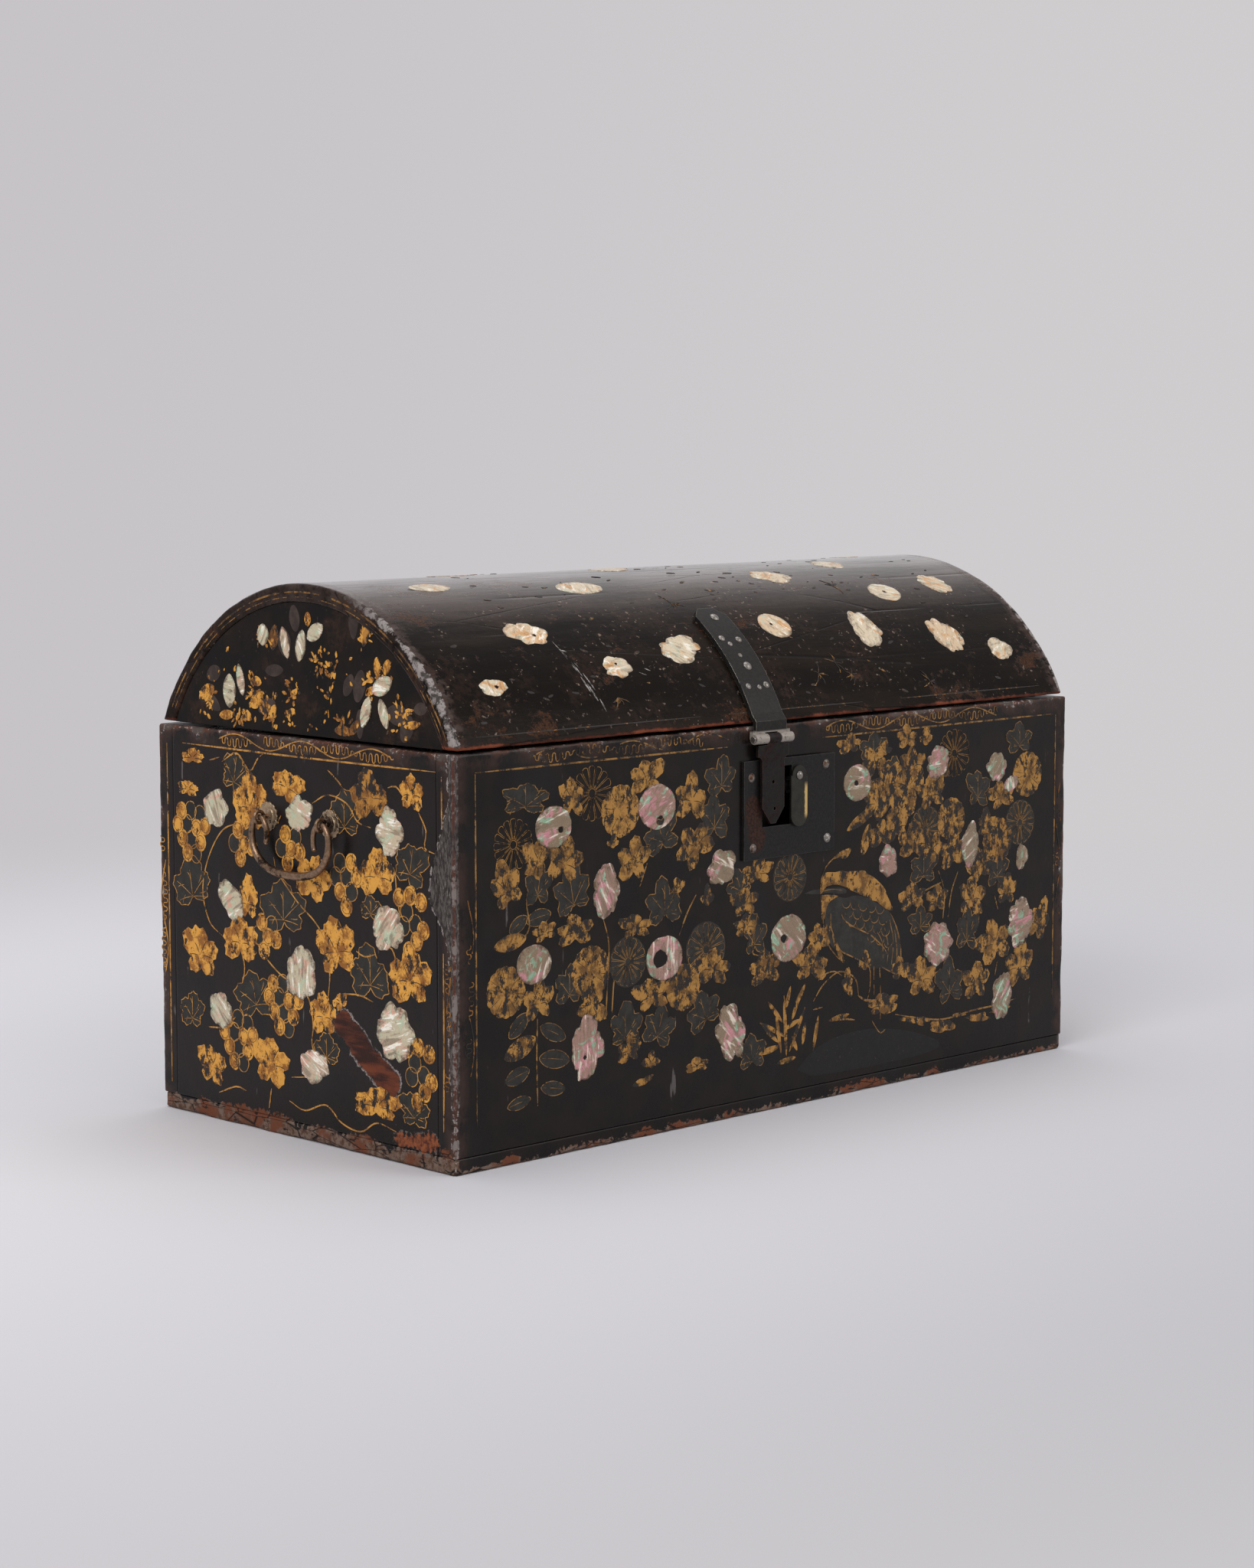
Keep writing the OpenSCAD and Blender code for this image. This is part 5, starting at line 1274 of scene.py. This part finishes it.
birdLines = [
    ([(25, 107), (25.6, 114), (29, 120.6), (36, 125.4)], 0.7),
    ([(27, 99), (27.6, 90), (31, 80.4), (36.4, 74.4), (42.4, 69.6)], 0.7),
    ([(33, 96), (33.2, 89), (36.4, 82.6), (40.6, 76), (49, 72), (57, 68.2), (63.2, 64.4), (64, 59),
      (63.6, 53), (61.6, 47)], 0.7),
    ([(41, 96), (42.4, 92.6), (47.6, 88.8), (55, 85.4), (63, 82), (69, 78), (74, 74), (77.4, 70)], 0.7),
    ([(79.4, 91.4), (83, 86), (86.2, 79), (88, 71), (87.8, 62), (85.4, 58.4), (80.4, 60), (73, 63.6)], 0.8),
    ([(66.8, 64.6), (66.8, 57.6)], 0.7), ([(67, 55), (67, 49.6)], 0.6), ([(71.2, 63.6), (71.8, 58)], 0.8),
    ([(72, 54), (72.2, 45), (72, 36)], 0.8), ([(65.6, 36), (69, 31.6), (72.4, 28.6), (76, 30)], 0.6),
    ([(83, 82), (85, 70), (84, 62)], 0.5), ([(79, 88), (82, 76), (80.6, 64)], 0.5),
    ([(75, 84), (78, 74), (77, 64.6)], 0.45), ([(68, 84), (73, 77), (74, 68)], 0.4),
    ([(23, 62), (29, 65), (36, 65.6), (42, 62.6)], 0.7), ([(54, 51), (60, 47.6), (64, 47), (69, 45)], 1.2),
    ([(38, 40), (46, 39.4), (52, 38.2)], 0.9), ([(20, 47.6), (27, 48)], 0.8),
    ([(26, 108.2), (34, 108.6), (42, 107.2)], 0.3),
]


wing = {
    "rows": 6, "feathers": 5,
    "left": 45, "top": 100.5,
    "step": 6.6, "rowStep": 2.2, "rowDrop": 4.4,
    "slope": 0.22, "steeper": 0.18,
    "right": 82,
    "across": 3.2, "up": 2.9,
}


def addFeathers(piles, face):
    # scallops in rows that follow the folded wing, above its lower edge
    w = wing
    for row in range(w["rows"]):
        for k in range(w["feathers"]):
            x = w["left"] + w["step"] * k + w["rowStep"] * row
            fall = w["slope"] * (x - w["left"]) * (1 + w["steeper"] * row)
            z = w["top"] - w["rowDrop"] * row - fall
            t = np.linspace(math.pi, 2 * math.pi, 7)
            if z > 93.5 - 0.62 * (x - 42) and x < w["right"]:
                scallop = np.stack([x + w["across"] * np.cos(t), z + w["up"] * np.sin(t)], -1)
                addRibbon(piles["line"], scallop, 0.4, face, tone=0.4)


def paintBird(piles, face):
    for key, tone, points, middle in birdFills:
        outline = smoothPath(points + points[:1], 2.0)[:-1]
        area = np.sum(outline[:, 0] * np.roll(outline[:, 1], -1)
                      - outline[:, 1] * np.roll(outline[:, 0], -1))
        addPatch(piles[key], outline if area > 0 else outline[::-1], face, 0.10 if key == "gold" else 0.05,
                 tone, middle)
    for line, width in birdLines:
        addStem(piles, face, line, width, 0.3)
    addFeathers(piles, face)


def paintBorder(piles, face, gold, mirror, seed):
    # one gold line inside a scroll, along the top and both sides
    for path in gold["borders"]:
        addRibbon(piles["line"], smoothPath(np.array(path, float) * [mirror, 1], 6), 0.9, face, 0.08,
                  tone=0.5)
    for k, (start, end, level, height, upright, tone, keep) in enumerate(gold["scrolls"]):
        if mirror < 0 and upright:
            level = -level
        elif mirror < 0:
            start, end = -end, -start
        addScroll(piles, face, start, end, level, height, upright, tone, keep, seed + k)


def paintFront():
    piles = goldPiles()
    for k, (x, z, r, tone) in enumerate(frontGold["discs"]):
        addDisc(piles, onFront, x, z, r, tone, k)
    for x, z, r, filled in frontGold["mums"]:
        addMum(piles, onFront, x, z, r, filled=bool(filled))
    for k, (x, z, w, h, turn, tone) in enumerate(frontGold["leaves"]):
        addLeaf(piles, onFront, x, z, w * 1.1, h * 1.1, turn, tone, 5 if w > 13 else 3, k)
    for k, (x, z, w, h, turn) in enumerate(frontGold["lineLeaves"]):
        addLineLeaf(piles, onFront, x, z, w, h, turn, seed=k)
    for x, z, w, h, turn, tone, kind in frontGold["blades"]:
        addBlade(piles, onFront, x, z, w, h, turn, tone, kind)
    for foot, tip in grassBlades:
        foot, tip = np.array(foot, float), np.array(tip, float)
        mid, along = (foot + tip) / 2, tip - foot
        addBlade(piles, onFront, *mid, np.linalg.norm(along), 2.6,
                 math.degrees(math.atan2(along[1], along[0])), 0.25)
    for line in frontGold["stems"]:
        addStem(piles, onFront, line, 0.8)
    addPatch(piles["dark"], smoothPath(frontGold["mound"], 3), onFront, 0.05, 0.1, (62, 20))
    for k, (x, z, w, h, turn, tone) in enumerate(frontGold["shore"]):
        addPatch(piles["gold"], turned(ovalOutline(w, h, 48, 0.45, k), x, z, turn), onFront, 0.08, tone)
    addStem(piles, onFront, frontGold["shoreLine"], 0.9, 0.3)
    paintBird(piles, onFront)
    paintBorder(piles, onFront, frontGold, 1, 1)
    finishPiles("front", piles, "carcase")


paintFront()
print("stage: front painted")

grapeForms = {
    "wide": [
        (-1, 1, 1), (0, 1.1, 0), (1, 0.9, 0), (-1.4, 0.1, 1), (-0.4, 0.2, 0), (0.6, 0, 1), (1.5, 0.2, 1),
        (-0.9, -0.8, 1), (0.1, -0.8, 0), (1, -0.9, 1), (-0.4, -1.7, 1), (0.5, -1.7, 0),
    ],
    "long": [
        (-0.6, 1.2, 0), (0.5, 1.3, 1), (-1, 0.3, 0), (0, 0.4, 0), (1, 0.4, 1), (-0.6, -0.6, 1),
        (0.5, -0.5, 0), (0, -1.5, 1),
    ],
    "small": [
        (-0.5, 0.8, 1), (0.5, 0.7, 0), (-0.9, -0.1, 0), (0.1, -0.1, 1), (0.9, -0.2, 1), (-0.3, -1, 1),
    ],
    "tall": [
        (-1.1, 1.3, 1), (-0.1, 1.5, 1), (0.9, 1.2, 1), (-0.4, 0.5, 0), (0.4, -0.2, 0), (-0.7, -0.4, 0),
        (1.1, -0.5, 1), (0.5, -1.2, 1), (-0.2, -1.9, 1),
    ],
}
endGold = {
    # u, z, width, height, turn, tone
    "leaves": [
        (-88, 165, 20, 9, 0, 0.45), (-84, 181, 20, 8, 0, 0.4), (-38, 160, 25, 29, 0, 0.5),
        (-9, 172, 26, 17, -15, 0.3), (53, 172, 27, 25, 5, 0.75), (83, 176, 17, 18, 0, 0.45),
        (10, 128, 27, 26, -15, 0.2), (58, 135, 26, 25, 0, 0.35), (-41, 112, 16, 22, 0, 0.35),
        (-47, 92, 28, 24, 0, 0.25), (-80, 82, 28, 25, 0, 0.25), (27, 96, 29, 28, 10, 0.3),
        (81, 88, 30, 27, 0, 0.4), (-24, 34, 31, 27, 0, 0.1), (-72, 26, 24, 22, 0, 0.65),
        (17, 63, 20, 21, 0, 0.5), (56, 25, 36, 17, 0, 0.55), (30, 72, 12, 8, 30, 0.5),
    ],
    "lineLeaves": [
        (-50, 175, 23, 23, -10), (-86, 115, 33, 24, 10), (-13, 111, 33, 25, 0), (82, 142, 24, 22, -10),
        (52, 87, 28, 27, 0), (-36, 66, 32, 24, 15), (-87, 52, 20, 20, 0), (19, 46, 20, 17, 0),
        (34, 160, 24, 22, 0), (53, 119, 15, 12, 0), (83, 26, 22, 16, 0),
    ],
    "grapes": [
        (-86, 146, "wide"), (-44, 142, "small"), (-7, 143, "small"), (35, 130, "long"), (82, 117, "tall"),
        (-26, 98, "small"), (-14, 67, "wide"), (87, 46, "tall"), (-50, 45, "wide"),
    ],
    "stems": [
        [(-44, 152), (-60, 147), (-72, 132), (-77, 115), (-72, 100), (-62, 94)],
        [(-20, 137), (-17, 130), (-2, 117), (12, 108), (20, 98), (22, 84), (20, 70)],
        [(-36, 95), (-26, 86), (-14, 79), (-2, 76), (6, 70), (9, 58), (8, 48), (14, 36), (4, 32), (-8, 30)],
        [(10, 166), (22, 171), (36, 168), (44, 160), (54, 158)], [(66, 178), (72, 179), (78, 174)],
        [(88, 168), (93, 160), (92, 152), (99, 150)], [(64, 144), (70, 140), (72, 128), (74, 118)],
        [(-60, 181), (-48, 186), (-38, 178), (-32, 184), (-26, 188)], [(-70, 181), (-62, 183)],
        [(22, 183), (30, 178), (36, 172)], [(60, 103), (68, 102), (72, 96), (80, 98)],
        [(56, 98), (48, 96), (42, 98)], [(-24, 22), (-26, 12)], [(-76, 46), (-60, 48), (-52, 54)],
        [(-66, 14), (-52, 19), (-44, 18)],
        [(-10, 18), (2, 15), (18, 20), (30, 13), (44, 11), (56, 17), (70, 15)],
        [(-48, 92), (-44, 80), (-46, 72)], [(30, 76), (44, 77), (54, 75)], [(-18, 152), (-14, 158)],
        [(84, 110), (88, 104)],
    ],
    "borders": [
        [(-92, 188), (0, 187.6), (100, 188)], [(-105, 187), (-105, 100), (-105, 14)],
        [(104, 186), (104, 174), (104, 162)], [(104.5, 104), (104.5, 60), (104, 20)],
    ],
    # start, end, level, height, upright, tone, share kept
    "scrolls": [
        (-62, 72, 192.2, 7.6, False, 0.4, 0.97), (70, 140, -109, 6, True, 0.5, 0.8),
        (30, 100, 107.5, 4.5, True, 0.8, 0.5),
    ],
}


def paintEnd(prefix, face, mirror=1, seed=0):
    piles = goldPiles()
    for k, (u, z, w, h, turn, tone) in enumerate(endGold["leaves"]):
        addLeaf(piles, face, mirror * u, z, w, h, mirror * turn, tone, 5, k + seed, False)
    for k, (u, z, w, h, turn) in enumerate(endGold["lineLeaves"]):
        addLineLeaf(piles, face, mirror * u, z, w, h, mirror * turn, seed=k + seed, sharp=False)
    for k, (u, z, form) in enumerate(endGold["grapes"]):
        addGrapes(piles, face, mirror * u, z, grapeForms[form], tone=0.2 + 0.07 * (k % 4))
    for line in endGold["stems"]:
        addStem(piles, face, np.array(line, float) * [mirror, 1], 0.75)
    paintBorder(piles, face, endGold, mirror, 5 + seed)
    finishPiles(prefix, piles, "carcase", endGoldMat, endLineMat)


paintEnd("left_end", onLeft)
paintEnd("right_end", onRight, -1, 40)
print("stage: ends painted")

lidEndGold = {
    # u, height above the rim, length, width, turn, tone, kind
    "blades": [
        (47, 52, 15, 6, 75, 0.75, "gold"), (-76, 16, 14, 8, 30, 0.6, "gold"),
        (-72, 12, 16, 7, -30, 0.5, "dark"), (-36, 15, 12, 8, 40, 0.5, "gold"),
        (-36, 24, 8, 5, -10, 0.3, "gold"), (-24, 9, 10, 5, 60, 0.5, "gold"),
        (-10, 10, 8, 4, 30, 0.5, "gold"), (-60, 6, 12, 5, 5, 0.5, "gold"), (-44, 7, 9, 5, -30, 0.5, "gold"),
        (-7, 20, 6, 3, 20, 0.3, "gold"), (30, 4, 14, 5, 0, 0.9, "gold"), (38, 6, 10, 5, 45, 0.9, "gold"),
        (50, 24, 8, 4, 30, 0.3, "gold"), (55, 36, 5, 9, 0, 0.4, "gold"), (62, 36, 5, 8, -20, 0.4, "gold"),
        (80, 10, 12, 4, 10, 0.5, "gold"), (-22, 46, 13, 7, 80, 0.9, "gold"), (4, 56, 5, 7, 0, 0.5, "gold"),
        (-6, 56, 8, 13, 10, 0.5, "dark"), (-14, 44, 10, 14, 10, 0.5, "dark"),
        (42, 26, 9, 16, -15, 0.5, "dark"), (34, 26, 7, 12, -30, 0.5, "dark"),
        (70, 14, 18, 10, -5, 0.5, "dark"), (76, 8, 9, 14, -25, 0.5, "dark"),
        (86, 18, 10, 6, 10, 0.5, "dark"), (-28, 12, 14, 8, 20, 0.5, "dark"), (42, 8, 6, 14, 0, 0.5, "dark"),
        (-22, 30, 14, 6, 5, 0.6, "dark"), (-70, 26, 12, 8, 20, 0.6, "dark"),
        (38, 56, 7, 16, 0, 0.6, "dark"),
    ],
    # u, height above the rim, spread, count
    "sprigs": [
        (14, 36, 8, 26), (-38, 18, 9, 22), (-22, 9, 10, 26), (-8, 20, 7, 16), (24, 34, 5, 10),
        (52, 30, 8, 20), (60, 34, 6, 14), (-72, 14, 9, 18), (-50, 8, 9, 18), (72, 14, 9, 18),
        (30, 8, 7, 12), (20, 20, 9, 12), (-30, 46, 7, 8), (46, 48, 8, 12),
    ],
    "specks": 70,
    # distance inside the barrel's edge, width, parts
    "arcs": [(4.2, 0.9, 9), (6.6, 0.5, 13)],
}


def paintLidEnd(prefix, face, rimFace, mirror=1, seed=0):
    piles = goldPiles()
    for u, up, w, h, turn, tone, kind in lidEndGold["blades"]:
        addBlade(piles, face, mirror * u, rimHeight + up, w, h, mirror * turn, tone,
                 kind if kind == "gold" else "plain")
    rng = np.random.default_rng(seed)
    for _ in range(lidEndGold["specks"]):
        u, up = rng.uniform(-84, 84), abs(rng.normal(0, 18)) + 2
        if (u / 100) ** 2 + (up / 60) ** 2 < 0.8:
            size, turn = rng.uniform(1.2, 3.6), rng.uniform(0, 180)
            outline = ovalOutline(size, size * 0.55, 9, 0.3, int(size * 50))
            addPatch(piles["gold"], turned(outline, u, rimHeight + up, turn), face, 0.08, 0.4)
    for u, up, spread, count in lidEndGold["sprigs"]:
        for _ in range(count):
            a, r = rng.uniform(0, 2 * np.pi), spread * rng.random() ** 0.7
            addBlade(piles, face, mirror * u + r * math.cos(a), rimHeight + max(1.6, up + r * math.sin(a)),
                     rng.uniform(1.6, 4.6), rng.uniform(0.8, 2.0),
                     math.degrees(a) + rng.uniform(-40, 40), rng.uniform(0.2, 0.8))
    for shrink, width, parts in lidEndGold["arcs"]:
        r = barrelRadius - shrink
        spread = math.acos((rimHeight + 4 - barrelMid) / r)
        for k in range(parts):
            t = (1 - 2 * (k + np.linspace(0.02, rng.uniform(0.7, 0.98), 14)) / parts) * spread
            addRibbon(piles["line"], np.stack([r * np.sin(t), barrelMid + r * np.cos(t)], -1), width,
                      rimFace, tone=0.7)
    finishPiles(prefix, piles, "lid", endGoldMat, thinGoldMat, petalMat)


paintLidEnd("lid_left", onLidLeft, onLeftRim, 1, 8)
paintLidEnd("lid_right", onLidRight, onRightRim, -1, 9)

# What is left of the gold on the barrel: rails by the rim, faint leaves and flecks
barrelScratches = [
    [(-131, 56), (-130, 50), (-129.2, 44)], [(-128.6, 41), (-127.6, 36)], [(-127.4, 33), (-125.8, 24)],
    [(-130, 52), (-128.4, 45)], [(-128, 42), (-126, 33)], [(-125.4, 29), (-123.6, 19)],
    [(-126.4, 42), (-125.2, 38)], [(-124.8, 35), (-122.4, 25)], [(-122, 20), (-121, 13)],
    [(-88, 33), (-84, 31)], [(-83, 35), (-80, 33.4)], [(-130, 50), (-126.6, 48.6)],
]
barrelGold = {
    "flecks": 260,
    "fleckReach": 205,
    "twigs": [(36, 24), (52, 30), (60, 22), (-110, 20), (118, 14), (100, 88), (-30, 80)],
    "railInset": 6.0,
    "rails": [(-208, -60), (-40, 60), (90, 205)],
}


def paintBarrel():
    piles = goldPiles()
    rng = np.random.default_rng(21)
    for x, v in barrelGold["twigs"]:
        for k in range(7):
            a = rng.uniform(0, 2 * np.pi)
            r = rng.uniform(3, 9)
            line = [(x, v), (x + r * 0.6 * math.cos(a) + 1, v + r * 0.6 * math.sin(a)),
                    (x + r * math.cos(a), v + r * math.sin(a))]
            addStem(piles, onBarrel, line, 0.5, 0.5)
    reach, inset = barrelGold["fleckReach"], barrelGold["railInset"]
    for _ in range(barrelGold["flecks"]):
        x, v = rng.uniform(-reach, reach), rng.uniform(10, barrelArc - 12)
        size, turn = rng.uniform(0.8, 3.4), rng.uniform(-30, 30)
        outline = ovalOutline(size * 1.6, size * 0.6, 8, 0.3, int(size * 40))
        addPatch(piles["gold"], turned(outline, x, v, turn), onBarrel, 0.07, rng.uniform(0.6, 1.0))
    for v in (inset, barrelArc - inset):
        for a, b in barrelGold["rails"]:
            rail = smoothPath([(a, v), ((a + b) / 2, v + 0.1), (b, v)], 5)
            addRibbon(piles["line"], rail, 0.6, onBarrel, 0.07, tone=0.9)
    finishPiles("barrel", piles, "lid", faintGoldMat, faintGoldMat)
    scratches = newPile()
    for k, line in enumerate(barrelScratches):
        addRibbon(scratches, smoothPath(line, 2.5), 0.5 + 0.3 * (k % 3), onBarrel, 0.05, tone=0.5,
                  taper=0.2)
    makePiece("barrel_scratches", scratches, clothMat, "lid", smooth=False)


paintBarrel()
print("stage: lid painted")

# Set: pale floor and background, soft lamps, and the camera where the photographer stood
studio = {
    "floorTone": (0.735, 0.718, 0.745),
    "floorReach": 9000,  # millimetres
    "floorRings": 30,
    "floorSpokes": 64,
    "underCamera": 0.35,  # metres
    "leftBack": (0.570, 0.548, 0.573),
    "rightBack": (0.62, 0.605, 0.615),
    "skyTone": (0.96, 0.97, 1.0),
    "ambient": 0.53,
}
viewpoint = {"place": (-1.2343, -1.2546, 0.3540), "pitch": 6.394, "roll": 0.045, "turn": -44.452,
             "lens": 76.9, "film": 36}
lamps = {  # place, height it aims at, size, watts
    "key": ((-2.2, -0.9, 1.9), 0.12, 1.5, 34),
    "fill": ((1.3, -2.3, 1.6), 0.12, 1.6, 20),
    "top": ((0.2, 0.4, 2.4), 0.1, 1.6, 16),
}


def makeStudio():
    s = studio
    rings, spokes = s["floorRings"], s["floorSpokes"]
    radii = np.linspace(0, s["floorReach"], rings + 1)[1:]
    flat = radii[:, None, None] * circle(spokes)[1][None]
    co = np.c_[flat.reshape(-1, 2), np.zeros(rings * spokes)] * toMetres
    k = np.arange(spokes)
    middle = np.stack([np.full(spokes, len(co)), k, (k + 1) % spokes], -1)
    fin = Finish("pale_floor")
    turn = math.radians(viewpoint["turn"])
    right = fin.x * math.cos(turn) + fin.y * math.sin(turn)
    near = fin.x * math.sin(turn) + fin.y * -math.cos(turn)
    far = fin.math("SQRT", fin.x * fin.x + fin.y * fin.y)
    # the floor is painted darker towards the camera and its right side and lighter on its left, as painted
    # shade, and turns into the background further back; across is the place from left to right in the
    # picture, distance to the right over distance from the camera, evened out on the floor under the camera
    # itself
    shade = near.fade(0.15, 0.75, 1.0, 0.88) * (right + near * 0.5).fade(0.15, 0.55, 1.0, 0.84)
    shade = shade * right.fade(-0.42, -0.05, 1.0, 0.88)
    cloudy = fin.mix(fin.noise(3, 3, 0.5), tuple(c * 0.99 for c in s["floorTone"]), s["floorTone"])
    fin.color = fin.mix(shade, (0, 0, 0), cloudy)
    fin.surface(roughness=0.9, specular=0.2)
    along = math.hypot(*viewpoint["place"][:2]) - near
    reach = right * right + along * along + s["underCamera"] ** 2
    across = right / fin.math("SQRT", reach)
    glow = fin.make("Emission", {"Color": fin.mix(across.fade(-0.2, 0.15), s["leftBack"], s["rightBack"])})
    plain = Field(fin, fin.shader.outputs[0])
    fin.feed(fin.output.inputs[0], fin.make("MixShader",
                                            {0: far.fade(0.4, 1.2) * fin.seen(), 1: plain, 2: glow}))
    mesh = bpy.data.meshes.new("floor")
    quads = gridQuads(rings, spokes, closed=True)
    mesh.from_pydata(np.r_[co, [[0, 0, 0]]].tolist(), [], quads.tolist() + middle.tolist())
    mesh.materials.append(fin.material)
    floor = bpy.data.objects.new("floor", mesh)
    bpy.context.scene.collection.objects.link(floor)

    world = bpy.data.worlds.new("studio")
    bpy.context.scene.world = world
    world.use_nodes = True
    sky = Nodes(world.node_tree)
    way = sky.make("TexCoord", {}, "Generated")
    x, y = (sky.make("SeparateXYZ", {0: way}, axis) for axis in (0, 1))
    across = x * math.cos(turn) + y * math.sin(turn)
    shown = sky.make("Background", {0: sky.mix(across.fade(-0.2, 0.15), s["leftBack"], s["rightBack"])})
    lit = sky.make("Background", {0: s["skyTone"], 1: s["ambient"]})
    out = sky.tree.nodes.new("ShaderNodeOutputWorld")
    sky.feed(out.inputs[0], sky.make("MixShader", {0: sky.seen(), 1: lit, 2: shown}))


def makeLamps():
    for name, (place, aim, size, watts) in lamps.items():
        data = bpy.data.lights.new(name, "AREA")
        data.size = size
        data.energy = watts
        lamp = bpy.data.objects.new(name, data)
        lamp.location = place
        lamp.rotation_euler = (Vector((0, 0, aim)) - Vector(place)).to_track_quat("-Z", "Y").to_euler()
        bpy.context.scene.collection.objects.link(lamp)


def makeCamera():
    v = viewpoint
    data = bpy.data.cameras.new("camera")
    data.sensor_fit = "VERTICAL"
    data.sensor_height = data.sensor_width = v["film"]
    data.lens = v["lens"]
    data.clip_start, data.clip_end = 0.05, 60
    camera = bpy.data.objects.new("camera", data)
    camera.location = v["place"]
    camera.rotation_euler = [math.radians(k) for k in (90 - v["pitch"], v["roll"], v["turn"])]
    bpy.context.scene.collection.objects.link(camera)
    bpy.context.scene.camera = camera


makeStudio()
makeLamps()
makeCamera()
bpy.context.scene.view_settings.view_transform = "Standard"

print("stage: set and camera placed")
